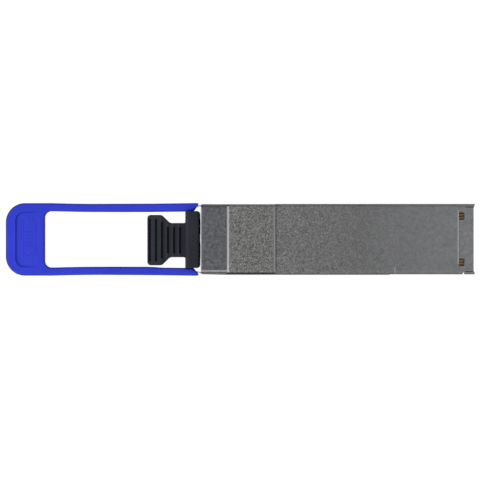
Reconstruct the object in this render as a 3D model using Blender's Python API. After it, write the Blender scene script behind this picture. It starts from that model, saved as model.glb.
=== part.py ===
"""Pluggable optical transceiver module with a pull tab and a rubber dust plug.

Frame: the origin is the centre of the bottom face, in the plane of the insertion shoulder.
+X runs from the optical ports to the card edge, +Y to the left of that direction, and +Z
towards the heat-sink face. Dimensions are millimetres, and meshes are made in metres.
"""

import math

import bmesh
import bpy
from mathutils import Vector

MM = 0.001
GAP = 0.3          # between pieces that rest on each other
RUNNING = 0.15     # between pieces that slide on each other, or a small piece in its seat
BEYOND = 1.0       # how far a cutter reaches past the material
OVERLAP = 0.1      # how far two cutters, or two joined solids, reach into each other
CREASE = math.radians(35)

# Housing, along X
NOSE_FRONT = -19.42
BLOCK_FRONT = -12.26
SHOULDER = 0.0
REAR_STEP = 47.87
LIP_END = 51.79
HOUSING_END = 52.05
HORN_START = 49.6

# Housing, half widths along Y
BODY_HALF = 9.175
BLOCK_HALF = 8.65
NOSE_HALF = 8.52
LIP_HALF = 8.3
HORN_INNER = 8.6
STRIP_HALF = 8.4
SLIT_X = (49.06, 49.33)
SLIT_DEPTH = 0.42
NOSE_SIDE_CHAMFER = 0.37
NOSE_FRONT_CHAMFER = 0.35
BLOCK_FRONT_BEVEL = 0.5
TRAY_FRONT_CHAMFER = 0.5
TRAY_REAR_CHAMFER = 0.4
WINDOW_X = (48.0, 49.35)
WINDOW_Y = (5.09, 6.99)

# Housing, heights along Z
NOSE_TOP = 8.0
BLOCK_TOP = 8.8
BODY_TOP = 8.5
STRIP_TOP = 8.25
PARTING = 6.1
LID_BOTTOM = PARTING + GAP
ROOF = 7.3
LIP_BOTTOM = 7.25
FLOOR = 1.2

# Hollows inside the two shells
POCKET_HALF = 7.2
POCKET_END = -8.9
POCKET_FLOOR = 0.7
OPTICS_HALF = 6.75
OPTICS_END = 8.0
BOARD_HALL_HALF = 7.9
BOARD_HALL_END = 46.9
REAR_OPENING = 45.5
REAR_WALL_INNER = 8.575
PEDESTAL_X = (15.2, 19.8)
PEDESTAL_Y = (1.6, 6.2)
PEDESTAL_BOTTOM = 6.0
RIB_X = {"front": (12.0, 13.0), "rear": (34.6, 35.6)}
SPRING_BAY_HALF = 0.7
LABEL_RECESS_X = (8.5, 37.0)
LABEL_RECESS_HALF = 7.5
LABEL_X = (8.9, 36.6)
LABEL_HALF = 7.1
LABEL_Z = (0.06, 0.16)

# Side channels of the latch arms
CHANNEL_FLOOR_Y = 8.6
CHANNEL_Z = (2.3, 5.7)
CHANNEL_END = 34.0

# Latch arms and their return springs
ARM_Z = (2.6, 5.4)
ARM_INNER = 8.79
ARM_OUTER = 9.24
ARM_TIP = 31.0
TANG_Z = (3.1, 4.9)
TANG_INNER = 8.35
TANG_OUTER = 8.8
TANG_END = -30.0
JOG_X = (-20.1, -18.9)
LUG_X = (-0.1, 0.6)
LUG_HALF = 0.55
ARM_WIDENING_X = -19.8
ARM_TIP_TAPER = 1.2
ARM_TIP_THICK = 0.15
SPRING_X = (-6.9, -0.4)
SPRING_Y = 7.9
SPRING_Z = 4.0
SPRING_COIL_R = 0.45
SPRING_WIRE_R = 0.12
SPRING_TURNS = 9
SPRING_STEPS = 12

# Pull tab
TAB_Z = (2.4, 5.6)
TAB_END = -70.38
TAB_WINDOW = -60.16
TAB_TIP_OUTER = -20.02
TAB_TIP_INNER = -21.6
TAB_CORNER_R = 5.0
TAB_WINDOW_R = 1.7
TAB_GRIP_HALF = 9.43
TAB_WAIST_HALF = 9.23
TAB_TIP_HALF = 9.47
TAB_WAIST_X = -46.0
TAB_GRIP_X = -58.0
TAB_ARM_THICK = 2.05
TAB_TIP_THICK = 2.18
TAB_EDGE_R = 0.45
TAB_RECESS_X = (-67.88, -61.2)
TAB_RECESS_HALF = 7.23
TAB_RECESS_DEPTH = 0.45

# Optical ports
PORT_Y = 3.125
PORT_Z = 3.575
PORT_HALF = 2.35
PORT_HEIGHT_HALF = 2.325
PORT_BACK = -10.4
KEY_HALF = 1.7
KEY_TOP = 6.75
KEY_BACK = -13.0
NOSEPIECE_HOLE_R = 1.6
SLEEVE_BORE_R = 1.1
SLEEVE_R = (0.66, 0.98)
SLEEVE_X = (-15.9, -11.1)
SLEEVE_OPENING = 12

# Optical sub-assemblies
CLAMP_X = (-8.0, -7.2)
CLAMP_TOP = 5.9
CLAMP_SLOT_HALF = 1.65
OPTIC_BODY_X = (-6.0, 3.0)
OPTIC_BODY_Y = (0.45, 6.25)
OPTIC_BODY_Z = (1.5, 5.9)
LEDGE_X = (2.8, 4.4)
LEDGE_Y = (1.3, 5.3)
LEDGE_Z = (3.4, 4.2)
FLEX_X = (3.4, 10.4)
FLEX_Y = (1.5, 5.1)
FLEX_Z = 4.37
FLEX_RISE = 0.55
FLEX_HALF = 0.08
FLEX_STEPS = 14
OPTIC_PAD_X = (-5.2, 2.2)
OPTIC_PAD_Y = (0.9, 5.8)
OPTIC_PAD_BOTTOM = 6.05
NOSEPIECE = [                     # radius and place along X
    (0, -10.9), (SLEEVE_BORE_R, -10.9), (SLEEVE_BORE_R, -16.2), (1.3, -16.2), (1.4, -16.1), (1.4, -8.95),
    (2.1, -8.95), (2.1, -8.25), (1.45, -8.25), (1.45, -6.95), (2.1, -6.95), (2.1, -6.3), (0, -6.3),
]

# Dust plug
PLUG_HEAD_X = (-33.47, -29.98)
PLUG_HEAD_HALF = 6.585
PLUG_NECK_X = (-27.5, -23.3)
PLUG_NECK_HALF = 4.47
PLUG_GRIP_Z = (1.9, 5.9)
PLUG_FLANGE_X = (-23.5, -19.55)
PLUG_FLANGE_HALF = 7.45
PLUG_FLANGE_NOTCH = 7.0
PLUG_FLANGE_Z = (0.8, 7.1)
PLUG_TONGUE_TIP = -12.2
PLUG_GROOVES = 6
PLUG_GROOVE_PITCH = 1.568
PLUG_GROOVE_FIRST = -32.82
PLUG_GROOVE_WIDTH = 0.52
PLUG_GROOVE_DEPTH = 0.35
PLUG_GROOVE_MARGIN = {"head": 1.2, "neck": 1.1}
PLUG_CORNER = 0.6
PLUG_TONGUE_HALF = 2.1
PLUG_BORE_R = 1.7
PLUG_BORE_START = -18.0

# Card and what stands on it
BOARD_Z = (3.1, 4.1)
BOARD_X = (8.3, 50.2)
BOARD_HALF = 7.6
CARD_EDGE_X = 44.9
CARD_EDGE_HALF = 8.2
CARD_CORNER = 0.4
NOTCH_Y = 5.35
COMPONENT_BASE = BOARD_Z[1] + RUNNING
CHIPS = {                         # limits along X and Y, and height
    "transmit_driver": ((15.0, 20.0), (1.4, 6.4), 1.1),
    "receive_amplifier": ((15.0, 20.0), (-6.4, -1.4), 1.1),
    "microcontroller": ((26.0, 31.0), (-2.5, 2.5), 0.8),
    "power_inductor": ((33.5, 36.0), (3.0, 5.5), 1.3),
    "clock_crystal": ((33.5, 36.5), (-4.6, -2.4), 0.8),
}
CHIP_EDGE = 0.1
CHIP_PAD_INSET = 0.3
CHIP_PAD_TOP = 5.85
CAPACITORS = 4
CAPACITOR_X = (22.4, 23.3)
CAPACITOR_FIRST_Y = -4.5
CAPACITOR_PITCH = 3.0
CAPACITOR_HALF = 0.8
CAPACITOR_HEIGHT = 0.8
ABSORBER_X = (16.0, 32.0)
ABSORBER_HALF = 6.0
ABSORBER_THICK = 0.5

# Screws
SCREW_SITES = {"front": (5.2, 7.1), "rear": (41.0, 7.0)}
BOSS_HALF = 1.45
BOSS_REACH = 1.35
SCREW_HOLE_R = 0.75
SCREW_SHANK_R = 0.6
SCREW_HEAD_R = 1.15
SCREW_SEAT_R = 1.35
SCREW_SEAT_Z = 1.3
SCREW_HOLE_TOP = 7.8
SCREW = [                         # radius and height, with a round driver socket at the bottom
    (0, 0.75), (0.45, 0.75), (0.45, 0.3), (SCREW_HEAD_R - 0.1, 0.3), (SCREW_HEAD_R, 0.4), (SCREW_HEAD_R, 1.0),
    (SCREW_SHANK_R, 1.0), (SCREW_SHANK_R, 7.3), (SCREW_SHANK_R - 0.2, 7.5), (0, 7.5),
]

SIDES = {"left": 1.0, "right": -1.0}
WIDE = (-12.0, 12.0)              # a span wider than the whole module
PLANES = {"X": (1, 2, 0), "Y": (0, 2, 1), "Z": (0, 1, 2)}

FINISHES = {                      # linear colour, roughness, metallic
    "plated_zinc": ((0.36, 0.36, 0.37), 0.45, 0.85),
    "steel": ((0.50, 0.50, 0.52), 0.35, 1.0),
    "blue_tab": ((0.040, 0.052, 0.60), 0.5, 0.0),
    "black_rubber": ((0.035, 0.037, 0.043), 0.8, 0.0),
    "black_plastic": ((0.02, 0.02, 0.022), 0.5, 0.0),
    "gold": ((0.78, 0.55, 0.24), 0.3, 1.0),
    "board_green": ((0.03, 0.16, 0.07), 0.45, 0.0),
    "flex_amber": ((0.45, 0.20, 0.03), 0.4, 0.0),
    "chip_black": ((0.025, 0.025, 0.028), 0.55, 0.0),
    "ceramic": ((0.85, 0.83, 0.78), 0.35, 0.0),
    "thermal_grey": ((0.42, 0.47, 0.52), 0.85, 0.0),
    "label_white": ((0.80, 0.80, 0.79), 0.5, 0.0),
}


def paint(obj, finish):
    """Give an object a material of its own with one of the listed finishes."""
    colour, roughness, metallic = FINISHES[finish]
    material = bpy.data.materials.new(obj.name + "_" + finish)
    material.use_nodes = True
    shader = material.node_tree.nodes["Principled BSDF"]
    shader.inputs["Base Color"].default_value = (*colour, 1.0)
    shader.inputs["Roughness"].default_value = roughness
    shader.inputs["Metallic"].default_value = metallic
    material.diffuse_color = (*colour, 1.0)
    obj.data.materials.append(material)


def place(name, bm, origin, finish=None):
    """Make an object in metres from a bmesh in millimetres, with its origin at a point."""
    bmesh.ops.recalc_face_normals(bm, faces=bm.faces)
    bmesh.ops.translate(bm, verts=bm.verts, vec=-Vector(origin))
    bmesh.ops.scale(bm, verts=bm.verts, vec=(MM, MM, MM))
    mesh = bpy.data.meshes.new(name)
    bm.to_mesh(mesh)
    bm.free()
    obj = bpy.data.objects.new(name, mesh)
    obj.location = Vector(origin) * MM
    bpy.context.scene.collection.objects.link(obj)
    if finish:
        paint(obj, finish)
    return obj


def box(name, x, y, z, finish=None):
    """A block between two limits along each axis."""
    bm = bmesh.new()
    bmesh.ops.create_cube(bm, size=1.0)
    centre = Vector([(low + high) / 2 for low, high in (x, y, z)])
    size = Vector([high - low for low, high in (x, y, z)])
    bmesh.ops.scale(bm, verts=bm.verts, vec=size)
    bmesh.ops.translate(bm, verts=bm.verts, vec=centre)
    return place(name, bm, centre, finish)


def prism(name, outline, axis, span, finish=None):
    """Extrude a closed outline, given in the plane of the other two axes, along an axis."""
    first, second, along = PLANES[axis]
    bm = bmesh.new()
    verts = []
    for a, b in outline:
        point = [0.0, 0.0, 0.0]
        point[first] = a
        point[second] = b
        point[along] = span[0]
        verts.append(bm.verts.new(point))
    grown = bmesh.ops.extrude_face_region(bm, geom=[bm.faces.new(verts)])
    rise = Vector((0.0, 0.0, 0.0))
    rise[along] = span[1] - span[0]
    far = [item for item in grown["geom"] if isinstance(item, bmesh.types.BMVert)]
    bmesh.ops.translate(bm, verts=far, vec=rise)
    low = [min(vert.co[i] for vert in bm.verts) for i in range(3)]
    high = [max(vert.co[i] for vert in bm.verts) for i in range(3)]
    centre = [(low[i] + high[i]) / 2 for i in range(3)]
    return place(name, bm, centre, finish)


def stack(name, rings, finish=None):
    """Close a solid between outlines of equal length, given with their heights from the bottom up."""
    bm = bmesh.new()
    loops = [[bm.verts.new((x, y, z)) for x, y in outline] for z, outline in rings]
    count = len(loops[0])
    for lower, upper in zip(loops, loops[1:]):
        for index in range(count):
            after = (index + 1) % count
            bm.faces.new([lower[index], lower[after], upper[after], upper[index]])
    bm.faces.new(loops[0])
    bm.faces.new(loops[-1])
    low = Vector([min(vert.co[i] for vert in bm.verts) for i in range(3)])
    high = Vector([max(vert.co[i] for vert in bm.verts) for i in range(3)])
    return place(name, bm, (low + high) / 2, finish)


def turned(name, profile, axis, centre, finish=None, segments=24):
    """Turn a profile of (radius, place along the axis) points that starts and ends on the axis."""
    first, second, along = PLANES[axis]
    bm = bmesh.new()
    rings = []
    for radius, position in profile:
        ring = []
        for step in range(segments if radius > 0 else 1):
            angle = 2 * math.pi * step / segments
            point = [0.0, 0.0, 0.0]
            point[first] = centre[first] + radius * math.cos(angle)
            point[second] = centre[second] + radius * math.sin(angle)
            point[along] = position
            ring.append(bm.verts.new(point))
        rings.append(ring)
    for near, far in zip(rings, rings[1:]):
        for step in range(segments):
            after = (step + 1) % segments
            corners = [near[step % len(near)], near[after % len(near)]]
            corners += [far[after % len(far)], far[step % len(far)]]
            bm.faces.new(list(dict.fromkeys(corners)))
    origin = list(centre)
    origin[along] = (profile[0][1] + profile[-1][1]) / 2
    obj = place(name, bm, origin, finish)
    obj.data.shade_smooth()
    obj.data.set_sharp_from_angle(angle=CREASE)
    return obj


def rod(name, radius, axis, centre, span, segments=20):
    """A plain round bar, used as a cutter or joined to a casting."""
    profile = [(0, span[0]), (radius, span[0]), (radius, span[1]), (0, span[1])]
    return turned(name, profile, axis, centre, segments=segments)


def world_origin(obj):
    """Where an object's origin is, adding up the places of its parents."""
    origin = obj.location.copy()
    while obj.parent:
        obj = obj.parent
        origin += obj.location
    return origin


def attach(child, parent):
    """Parent an object without moving it; nothing in this model is rotated."""
    child.location = child.location - world_origin(parent)
    child.parent = parent


def combine(obj, tool, operation="DIFFERENCE"):
    """Add a Boolean to an object and keep its tool as a hidden guide."""
    modifier = obj.modifiers.new(tool.name, "BOOLEAN")
    modifier.operation = operation
    modifier.solver = "EXACT"
    modifier.object = tool
    tool.hide_render = True
    tool.display_type = "WIRE"
    attach(tool, obj)


def mirror_outline(half):
    """Close a half outline given on +Y with its mirror image on -Y."""
    return half + [(x, -y) for x, y in reversed(half)]


def arc(centre, radius, start, end, steps):
    """Points along an arc between two angles in degrees."""
    points = []
    for step in range(steps + 1):
        angle = math.radians(start + (end - start) * step / steps)
        points.append((centre[0] + radius * math.cos(angle), centre[1] + radius * math.sin(angle)))
    return points


def both(low, high, sign):
    """A span on the +Y side, or its mirror image when the sign is negative."""
    return tuple(sorted((low * sign, high * sign)))


def joint_empty(name, origin):
    """An empty on a slide joint's axis."""
    empty = bpy.data.objects.new(name, None)
    empty.empty_display_size = 4 * MM
    empty.location = Vector(origin) * MM
    bpy.context.scene.collection.objects.link(empty)
    return empty


def boss(name, x, y, sign, heights):
    """A square post round a screw, joined to the side wall of a shell."""
    x_span = (x - BOSS_HALF, x + BOSS_HALF)
    return box(name, x_span, both(y - BOSS_HALF, y + BOSS_REACH, sign), heights)


def cut_slit(shell, name):
    """The narrow upright slit in the right-hand wall, near the rear."""
    depth = (-BODY_HALF - BEYOND, -BODY_HALF + SLIT_DEPTH)
    combine(shell, box(name, SLIT_X, depth, (-BEYOND, BODY_TOP + BEYOND)))


def make_top_shell():
    """The heat-sink lid: nose, raised block, flat body and a lowered rear strip between horns."""
    plan = mirror_outline([
        (NOSE_FRONT, NOSE_HALF), (BLOCK_FRONT, NOSE_HALF), (BLOCK_FRONT, BLOCK_HALF),
        (SHOULDER, BLOCK_HALF), (SHOULDER, BODY_HALF), (HOUSING_END, BODY_HALF),
        (HOUSING_END, HORN_INNER), (HORN_START, HORN_INNER), (HORN_START, LIP_HALF),
        (LIP_END, LIP_HALF),
    ])
    side = [
        (NOSE_FRONT - BEYOND, LID_BOTTOM), (HOUSING_END + BEYOND, LID_BOTTOM),
        (HOUSING_END + BEYOND, BODY_TOP), (SHOULDER, BODY_TOP), (SHOULDER, BLOCK_TOP),
        (BLOCK_FRONT + BLOCK_FRONT_BEVEL, BLOCK_TOP), (BLOCK_FRONT, NOSE_TOP),
        (NOSE_FRONT + NOSE_FRONT_CHAMFER, NOSE_TOP), (NOSE_FRONT, NOSE_TOP - NOSE_FRONT_CHAMFER),
        (NOSE_FRONT - BEYOND, NOSE_TOP - NOSE_FRONT_CHAMFER),
    ]
    shell = prism("top_shell", plan, "Z", (LID_BOTTOM - BEYOND, BLOCK_TOP + BEYOND), "plated_zinc")
    combine(shell, prism("lid_side_profile", side, "Y", WIDE), "INTERSECT")
    for name, sign in SIDES.items():
        inner = NOSE_HALF - NOSE_SIDE_CHAMFER
        outer = NOSE_HALF + BEYOND
        above = NOSE_TOP + BEYOND
        low = NOSE_TOP - BEYOND - NOSE_SIDE_CHAMFER
        edge = [(inner, NOSE_TOP), (outer, low), (outer, above), (inner, above)]
        edge = [(y * sign, z) for y, z in edge]
        combine(shell, prism("lid_nose_chamfer_" + name, edge, "X", (NOSE_FRONT - BEYOND, BLOCK_FRONT)))
        window_z = (LIP_BOTTOM - BEYOND, BODY_TOP + BEYOND)
        combine(shell, box("lid_window_" + name, WINDOW_X, both(*WINDOW_Y, sign), window_z))
    strip = ((REAR_STEP, HOUSING_END + BEYOND), (-STRIP_HALF, STRIP_HALF), (STRIP_TOP, BODY_TOP + BEYOND))
    combine(shell, box("lid_rear_strip", *strip))
    halls = {
        "pocket": ((NOSE_FRONT - BEYOND, POCKET_END), POCKET_HALF, ROOF),
        "optics": ((POCKET_END - OVERLAP, OPTICS_END + OVERLAP), OPTICS_HALF, ROOF),
        "board": ((OPTICS_END, BOARD_HALL_END), BOARD_HALL_HALF, ROOF),
        "rear": ((BOARD_HALL_END - OVERLAP, HOUSING_END + BEYOND), (LIP_HALF + HORN_INNER) / 2, LIP_BOTTOM),
    }
    for name, (x, half, roof) in halls.items():
        combine(shell, box("lid_hall_" + name, x, (-half, half), (LID_BOTTOM - BEYOND, roof)))
    post_top = ROOF + 2 * OVERLAP
    for name, sign in {"transmit": 1.0, "receive": -1.0}.items():
        pedestal_z = (PEDESTAL_BOTTOM, post_top)
        pedestal = box("lid_pedestal_" + name, PEDESTAL_X, both(*PEDESTAL_Y, sign), pedestal_z)
        combine(shell, pedestal, "UNION")
    for place_name, (x, y) in SCREW_SITES.items():
        for side_name, sign in SIDES.items():
            name = place_name + "_" + side_name
            combine(shell, boss("lid_boss_" + name, x, y, sign, (LID_BOTTOM, post_top)), "UNION")
            hole_z = (LID_BOTTOM - BEYOND, SCREW_HOLE_TOP)
            combine(shell, rod("lid_hole_" + name, SCREW_HOLE_R, "Z", (x, y * sign, 0), hole_z))
    cut_slit(shell, "lid_slit")


def make_bottom_shell():
    """The tray: floor, side walls with latch channels, and an open rear below the card edge."""
    plan = mirror_outline([
        (NOSE_FRONT, BODY_HALF - TRAY_FRONT_CHAMFER), (NOSE_FRONT + TRAY_FRONT_CHAMFER, BODY_HALF),
        (HOUSING_END, BODY_HALF),
    ])
    side = [
        (NOSE_FRONT, TRAY_FRONT_CHAMFER), (NOSE_FRONT + TRAY_FRONT_CHAMFER, 0.0),
        (HOUSING_END - TRAY_REAR_CHAMFER, 0.0), (HOUSING_END, TRAY_REAR_CHAMFER),
        (HOUSING_END, PARTING), (NOSE_FRONT, PARTING),
    ]
    above = PARTING + BEYOND
    shell = prism("bottom_shell", plan, "Z", (-BEYOND, above), "plated_zinc")
    combine(shell, prism("tray_side_profile", side, "Y", WIDE), "INTERSECT")
    halls = {
        "pocket": ((NOSE_FRONT - BEYOND, POCKET_END), POCKET_HALF, POCKET_FLOOR),
        "optics": ((POCKET_END - OVERLAP, OPTICS_END + OVERLAP), OPTICS_HALF, FLOOR),
        "board": ((OPTICS_END, REAR_OPENING - BEYOND), BOARD_HALL_HALF, FLOOR),
        "card": ((REAR_OPENING - BEYOND - OVERLAP, REAR_OPENING + OVERLAP), REAR_WALL_INNER, FLOOR),
        "rear": ((REAR_OPENING, HOUSING_END + BEYOND), REAR_WALL_INNER, -BEYOND),
    }
    for name, (x, half, floor) in halls.items():
        combine(shell, box("tray_hall_" + name, x, (-half, half), (floor, above)))
    for name, x in RIB_X.items():
        reach = BOARD_HALL_HALF + 2 * OVERLAP
        rib = box("tray_rib_" + name, x, (-reach, reach), (FLOOR - 2 * OVERLAP, BOARD_Z[0] - GAP))
        combine(shell, rib, "UNION")
    for name, sign in SIDES.items():
        channel_y = both(CHANNEL_FLOOR_Y, BODY_HALF + BEYOND, sign)
        channel = box("tray_channel_" + name, (NOSE_FRONT - BEYOND, CHANNEL_END), channel_y, CHANNEL_Z)
        combine(shell, channel)
        relief_z = (CHANNEL_Z[1] - OVERLAP, above)
        combine(shell, box("tray_relief_" + name, (NOSE_FRONT - BEYOND, SHOULDER), channel_y, relief_z))
        bay_x = (SPRING_X[0] - GAP, LUG_X[1] + 0.4)
        bay_y = both(SPRING_Y - SPRING_BAY_HALF, CHANNEL_FLOOR_Y + OVERLAP, sign)
        bay_z = (SPRING_Z - SPRING_BAY_HALF, SPRING_Z + SPRING_BAY_HALF)
        combine(shell, box("tray_spring_bay_" + name, bay_x, bay_y, bay_z))
    for place_name, (x, y) in SCREW_SITES.items():
        for side_name, sign in SIDES.items():
            name = place_name + "_" + side_name
            post = boss("tray_boss_" + name, x, y, sign, (FLOOR - 2 * OVERLAP, PARTING))
            combine(shell, post, "UNION")
            profile = [
                (0, -BEYOND), (SCREW_SEAT_R, -BEYOND), (SCREW_SEAT_R, SCREW_SEAT_Z),
                (SCREW_HOLE_R, SCREW_SEAT_Z), (SCREW_HOLE_R, above), (0, above),
            ]
            combine(shell, turned("tray_hole_" + name, profile, "Z", (x, y * sign, 0), segments=20))
    recess_y = (-LABEL_RECESS_HALF, LABEL_RECESS_HALF)
    combine(shell, box("tray_label_recess", LABEL_RECESS_X, recess_y, (-BEYOND, GAP)))
    cut_slit(shell, "tray_slit")


def make_screws():
    """Four small machine screws that enter from below, each with a round driver socket."""
    for place_name, (x, y) in SCREW_SITES.items():
        for side_name, sign in SIDES.items():
            name = "shell_screw_" + place_name + "_" + side_name
            turned(name, SCREW, "Z", (x, y * sign, 0), "steel", segments=20)


def make_receptacle():
    """The duplex port block: two square ports with key slots, and a bore for each sleeve."""
    block_x = (NOSE_FRONT + RUNNING + 0.12, POCKET_END - GAP)
    block_y = (-POCKET_HALF + RUNNING, POCKET_HALF - RUNNING)
    block_z = (POCKET_FLOOR + RUNNING, ROOF - RUNNING)
    block = box("lc_receptacle", block_x, block_y, block_z, "black_plastic")
    for name, sign in SIDES.items():
        y = PORT_Y * sign
        port_z = (PORT_Z - PORT_HEIGHT_HALF, PORT_Z + PORT_HEIGHT_HALF)
        port_x = (NOSE_FRONT - BEYOND, PORT_BACK)
        combine(block, box("port_" + name, port_x, (y - PORT_HALF, y + PORT_HALF), port_z))
        key_x = (NOSE_FRONT - BEYOND, KEY_BACK)
        key_z = (port_z[1] - 2 * OVERLAP, KEY_TOP)
        combine(block, box("port_key_" + name, key_x, (y - KEY_HALF, y + KEY_HALF), key_z))
        bore_x = (PORT_BACK - 0.6, POCKET_END + 0.9)
        combine(block, rod("port_bore_" + name, NOSEPIECE_HOLE_R, "X", (0, y, PORT_Z), bore_x))
    clamp_y = (-OPTICS_HALF + RUNNING, OPTICS_HALF - RUNNING)
    clamp = box("optics_clamp", CLAMP_X, clamp_y, (FLOOR + 2 * OVERLAP, CLAMP_TOP), "steel")
    for name, sign in SIDES.items():
        y = PORT_Y * sign
        slot_x = (CLAMP_X[0] - BEYOND, CLAMP_X[1] + BEYOND)
        slot_z = (PORT_Z - CLAMP_SLOT_HALF, CLAMP_TOP + BEYOND)
        slot = box("clamp_slot_" + name, slot_x, (y - CLAMP_SLOT_HALF, y + CLAMP_SLOT_HALF), slot_z)
        combine(clamp, slot)


def make_optics(kind, sign):
    """One optical sub-assembly: body with a lead ledge, nosepiece, split sleeve and flex strip."""
    y = PORT_Y * sign
    body_finish = "gold" if kind == "tosa" else "steel"
    body = box(kind + "_body", OPTIC_BODY_X, both(*OPTIC_BODY_Y, sign), OPTIC_BODY_Z, body_finish)
    combine(body, box(kind + "_ledge", LEDGE_X, both(*LEDGE_Y, sign), LEDGE_Z), "UNION")
    turned(kind + "_nosepiece", NOSEPIECE, "X", (0, y, PORT_Z), "steel")
    make_sleeve(kind + "_sleeve", y)
    middle = []
    for step in range(FLEX_STEPS + 1):
        share = step / FLEX_STEPS
        x = FLEX_X[0] + (FLEX_X[1] - FLEX_X[0]) * share
        middle.append((x, FLEX_Z + FLEX_RISE * math.sin(math.pi * share) ** 2))
    outline = [(x, z + FLEX_HALF) for x, z in middle] + [(x, z - FLEX_HALF) for x, z in reversed(middle)]
    prism(kind + "_flex", outline, "Y", both(*FLEX_Y, sign), "flex_amber")
    pad_z = (OPTIC_PAD_BOTTOM, ROOF - RUNNING)
    box(kind + "_thermal_pad", OPTIC_PAD_X, both(*OPTIC_PAD_Y, sign), pad_z, "thermal_grey")


def make_sleeve(name, y):
    """A ceramic sleeve split along its length, so its end view is a C."""
    inner_r, outer_r = SLEEVE_R
    outer = arc((y, PORT_Z), outer_r, SLEEVE_OPENING, 360 - SLEEVE_OPENING, 20)
    inner = arc((y, PORT_Z), inner_r, 360 - SLEEVE_OPENING, SLEEVE_OPENING, 20)
    sleeve = prism(name, outer + inner, "X", SLEEVE_X, "ceramic")
    sleeve.data.shade_smooth()
    sleeve.data.set_sharp_from_angle(angle=CREASE)


def make_board():
    """The circuit card, notched round the rear bosses, with its wider card edge at the rear."""
    rear_x = SCREW_SITES["rear"][0]
    notch = (rear_x - BOSS_HALF - GAP, rear_x + BOSS_HALF + GAP)
    outline = mirror_outline([
        (BOARD_X[0], BOARD_HALF), (notch[0], BOARD_HALF), (notch[0], NOTCH_Y), (notch[1], NOTCH_Y),
        (notch[1], BOARD_HALF), (CARD_EDGE_X, BOARD_HALF), (CARD_EDGE_X, CARD_EDGE_HALF),
        (BOARD_X[1] - CARD_CORNER, CARD_EDGE_HALF), (BOARD_X[1], CARD_EDGE_HALF - CARD_CORNER),
    ])
    prism("main_board", outline, "Z", BOARD_Z, "board_green")


def make_components():
    """Chips, coil and capacitors on the card, their thermal pads, and the absorber below it."""
    for name, (x, y, height) in CHIPS.items():
        chip = box(name, x, y, (COMPONENT_BASE, COMPONENT_BASE + height), "chip_black")
        bevel = chip.modifiers.new("edges", "BEVEL")
        bevel.width = CHIP_EDGE * MM
        bevel.segments = 1
    for index in range(CAPACITORS):
        centre = CAPACITOR_FIRST_Y + CAPACITOR_PITCH * index
        capacitor_y = (centre - CAPACITOR_HALF, centre + CAPACITOR_HALF)
        capacitor_z = (COMPONENT_BASE, COMPONENT_BASE + CAPACITOR_HEIGHT)
        box("capacitor_" + str(index + 1), CAPACITOR_X, capacitor_y, capacitor_z, "ceramic")
    for name, chip in {"transmit": "transmit_driver", "receive": "receive_amplifier"}.items():
        x, y, height = CHIPS[chip]
        pad_x = (x[0] + CHIP_PAD_INSET, x[1] - CHIP_PAD_INSET)
        pad_y = (y[0] + CHIP_PAD_INSET, y[1] - CHIP_PAD_INSET)
        pad_z = (COMPONENT_BASE + height + RUNNING, CHIP_PAD_TOP)
        box(name + "_thermal_pad", pad_x, pad_y, pad_z, "thermal_grey")
    absorber_z = (FLOOR + RUNNING, FLOOR + RUNNING + ABSORBER_THICK)
    box("absorber_sheet", ABSORBER_X, (-ABSORBER_HALF, ABSORBER_HALF), absorber_z, "chip_black")
    box("bottom_label", LABEL_X, (-LABEL_HALF, LABEL_HALF), LABEL_Z, "label_white")


def make_latch_arm(name, sign, parent):
    """A stamped arm: a tang inside the tab, a jog, a long flat run, a spring lug and a thin tip."""
    outline = [
        (TANG_END, TANG_OUTER), (JOG_X[0], TANG_OUTER), (JOG_X[1], ARM_OUTER),
        (ARM_TIP - ARM_TIP_TAPER, ARM_OUTER), (ARM_TIP, ARM_INNER + ARM_TIP_THICK), (ARM_TIP, ARM_INNER),
        (JOG_X[1], ARM_INNER), (JOG_X[0], TANG_INNER), (TANG_END, TANG_INNER),
    ]
    outline = [(x, y * sign) for x, y in outline]
    arm = prism("latch_arm_" + name, outline, "Z", (ARM_Z[0] - BEYOND, ARM_Z[1] + BEYOND), "steel")
    side = [
        (TANG_END - BEYOND, TANG_Z[0]), (ARM_WIDENING_X, TANG_Z[0]), (ARM_WIDENING_X, ARM_Z[0]),
        (ARM_TIP + BEYOND, ARM_Z[0]), (ARM_TIP + BEYOND, ARM_Z[1]), (ARM_WIDENING_X, ARM_Z[1]),
        (ARM_WIDENING_X, TANG_Z[1]), (TANG_END - BEYOND, TANG_Z[1]),
    ]
    combine(arm, prism("arm_side_profile_" + name, side, "Y", WIDE), "INTERSECT")
    lug_y = both(SPRING_Y - LUG_HALF, ARM_INNER + 2 * OVERLAP, sign)
    combine(arm, box("arm_lug_" + name, LUG_X, lug_y, (SPRING_Z - LUG_HALF, SPRING_Z + LUG_HALF)), "UNION")
    attach(arm, parent)


def make_return_spring(name, sign):
    """A compression spring: a poly curve along a helix, with a round wire and filled ends."""
    count = SPRING_TURNS * SPRING_STEPS + 1
    start = SPRING_X[0] + SPRING_WIRE_R
    length = SPRING_X[1] - SPRING_X[0] - 2 * SPRING_WIRE_R
    curve = bpy.data.curves.new("return_spring_" + name, "CURVE")
    curve.dimensions = "3D"
    curve.bevel_depth = SPRING_WIRE_R * MM
    curve.bevel_resolution = 1
    curve.use_fill_caps = True
    spline = curve.splines.new("POLY")
    spline.points.add(count - 1)
    for index, point in enumerate(spline.points):
        angle = 2 * math.pi * index / SPRING_STEPS
        x = length * index / (count - 1) - length / 2
        y = SPRING_COIL_R * math.cos(angle)
        z = SPRING_COIL_R * math.sin(angle)
        point.co = (x * MM, y * MM, z * MM, 1.0)
    spring = bpy.data.objects.new("return_spring_" + name, curve)
    spring.location = Vector((start + length / 2, SPRING_Y * sign, SPRING_Z)) * MM
    bpy.context.scene.collection.objects.link(spring)
    paint(spring, "steel")


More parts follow.
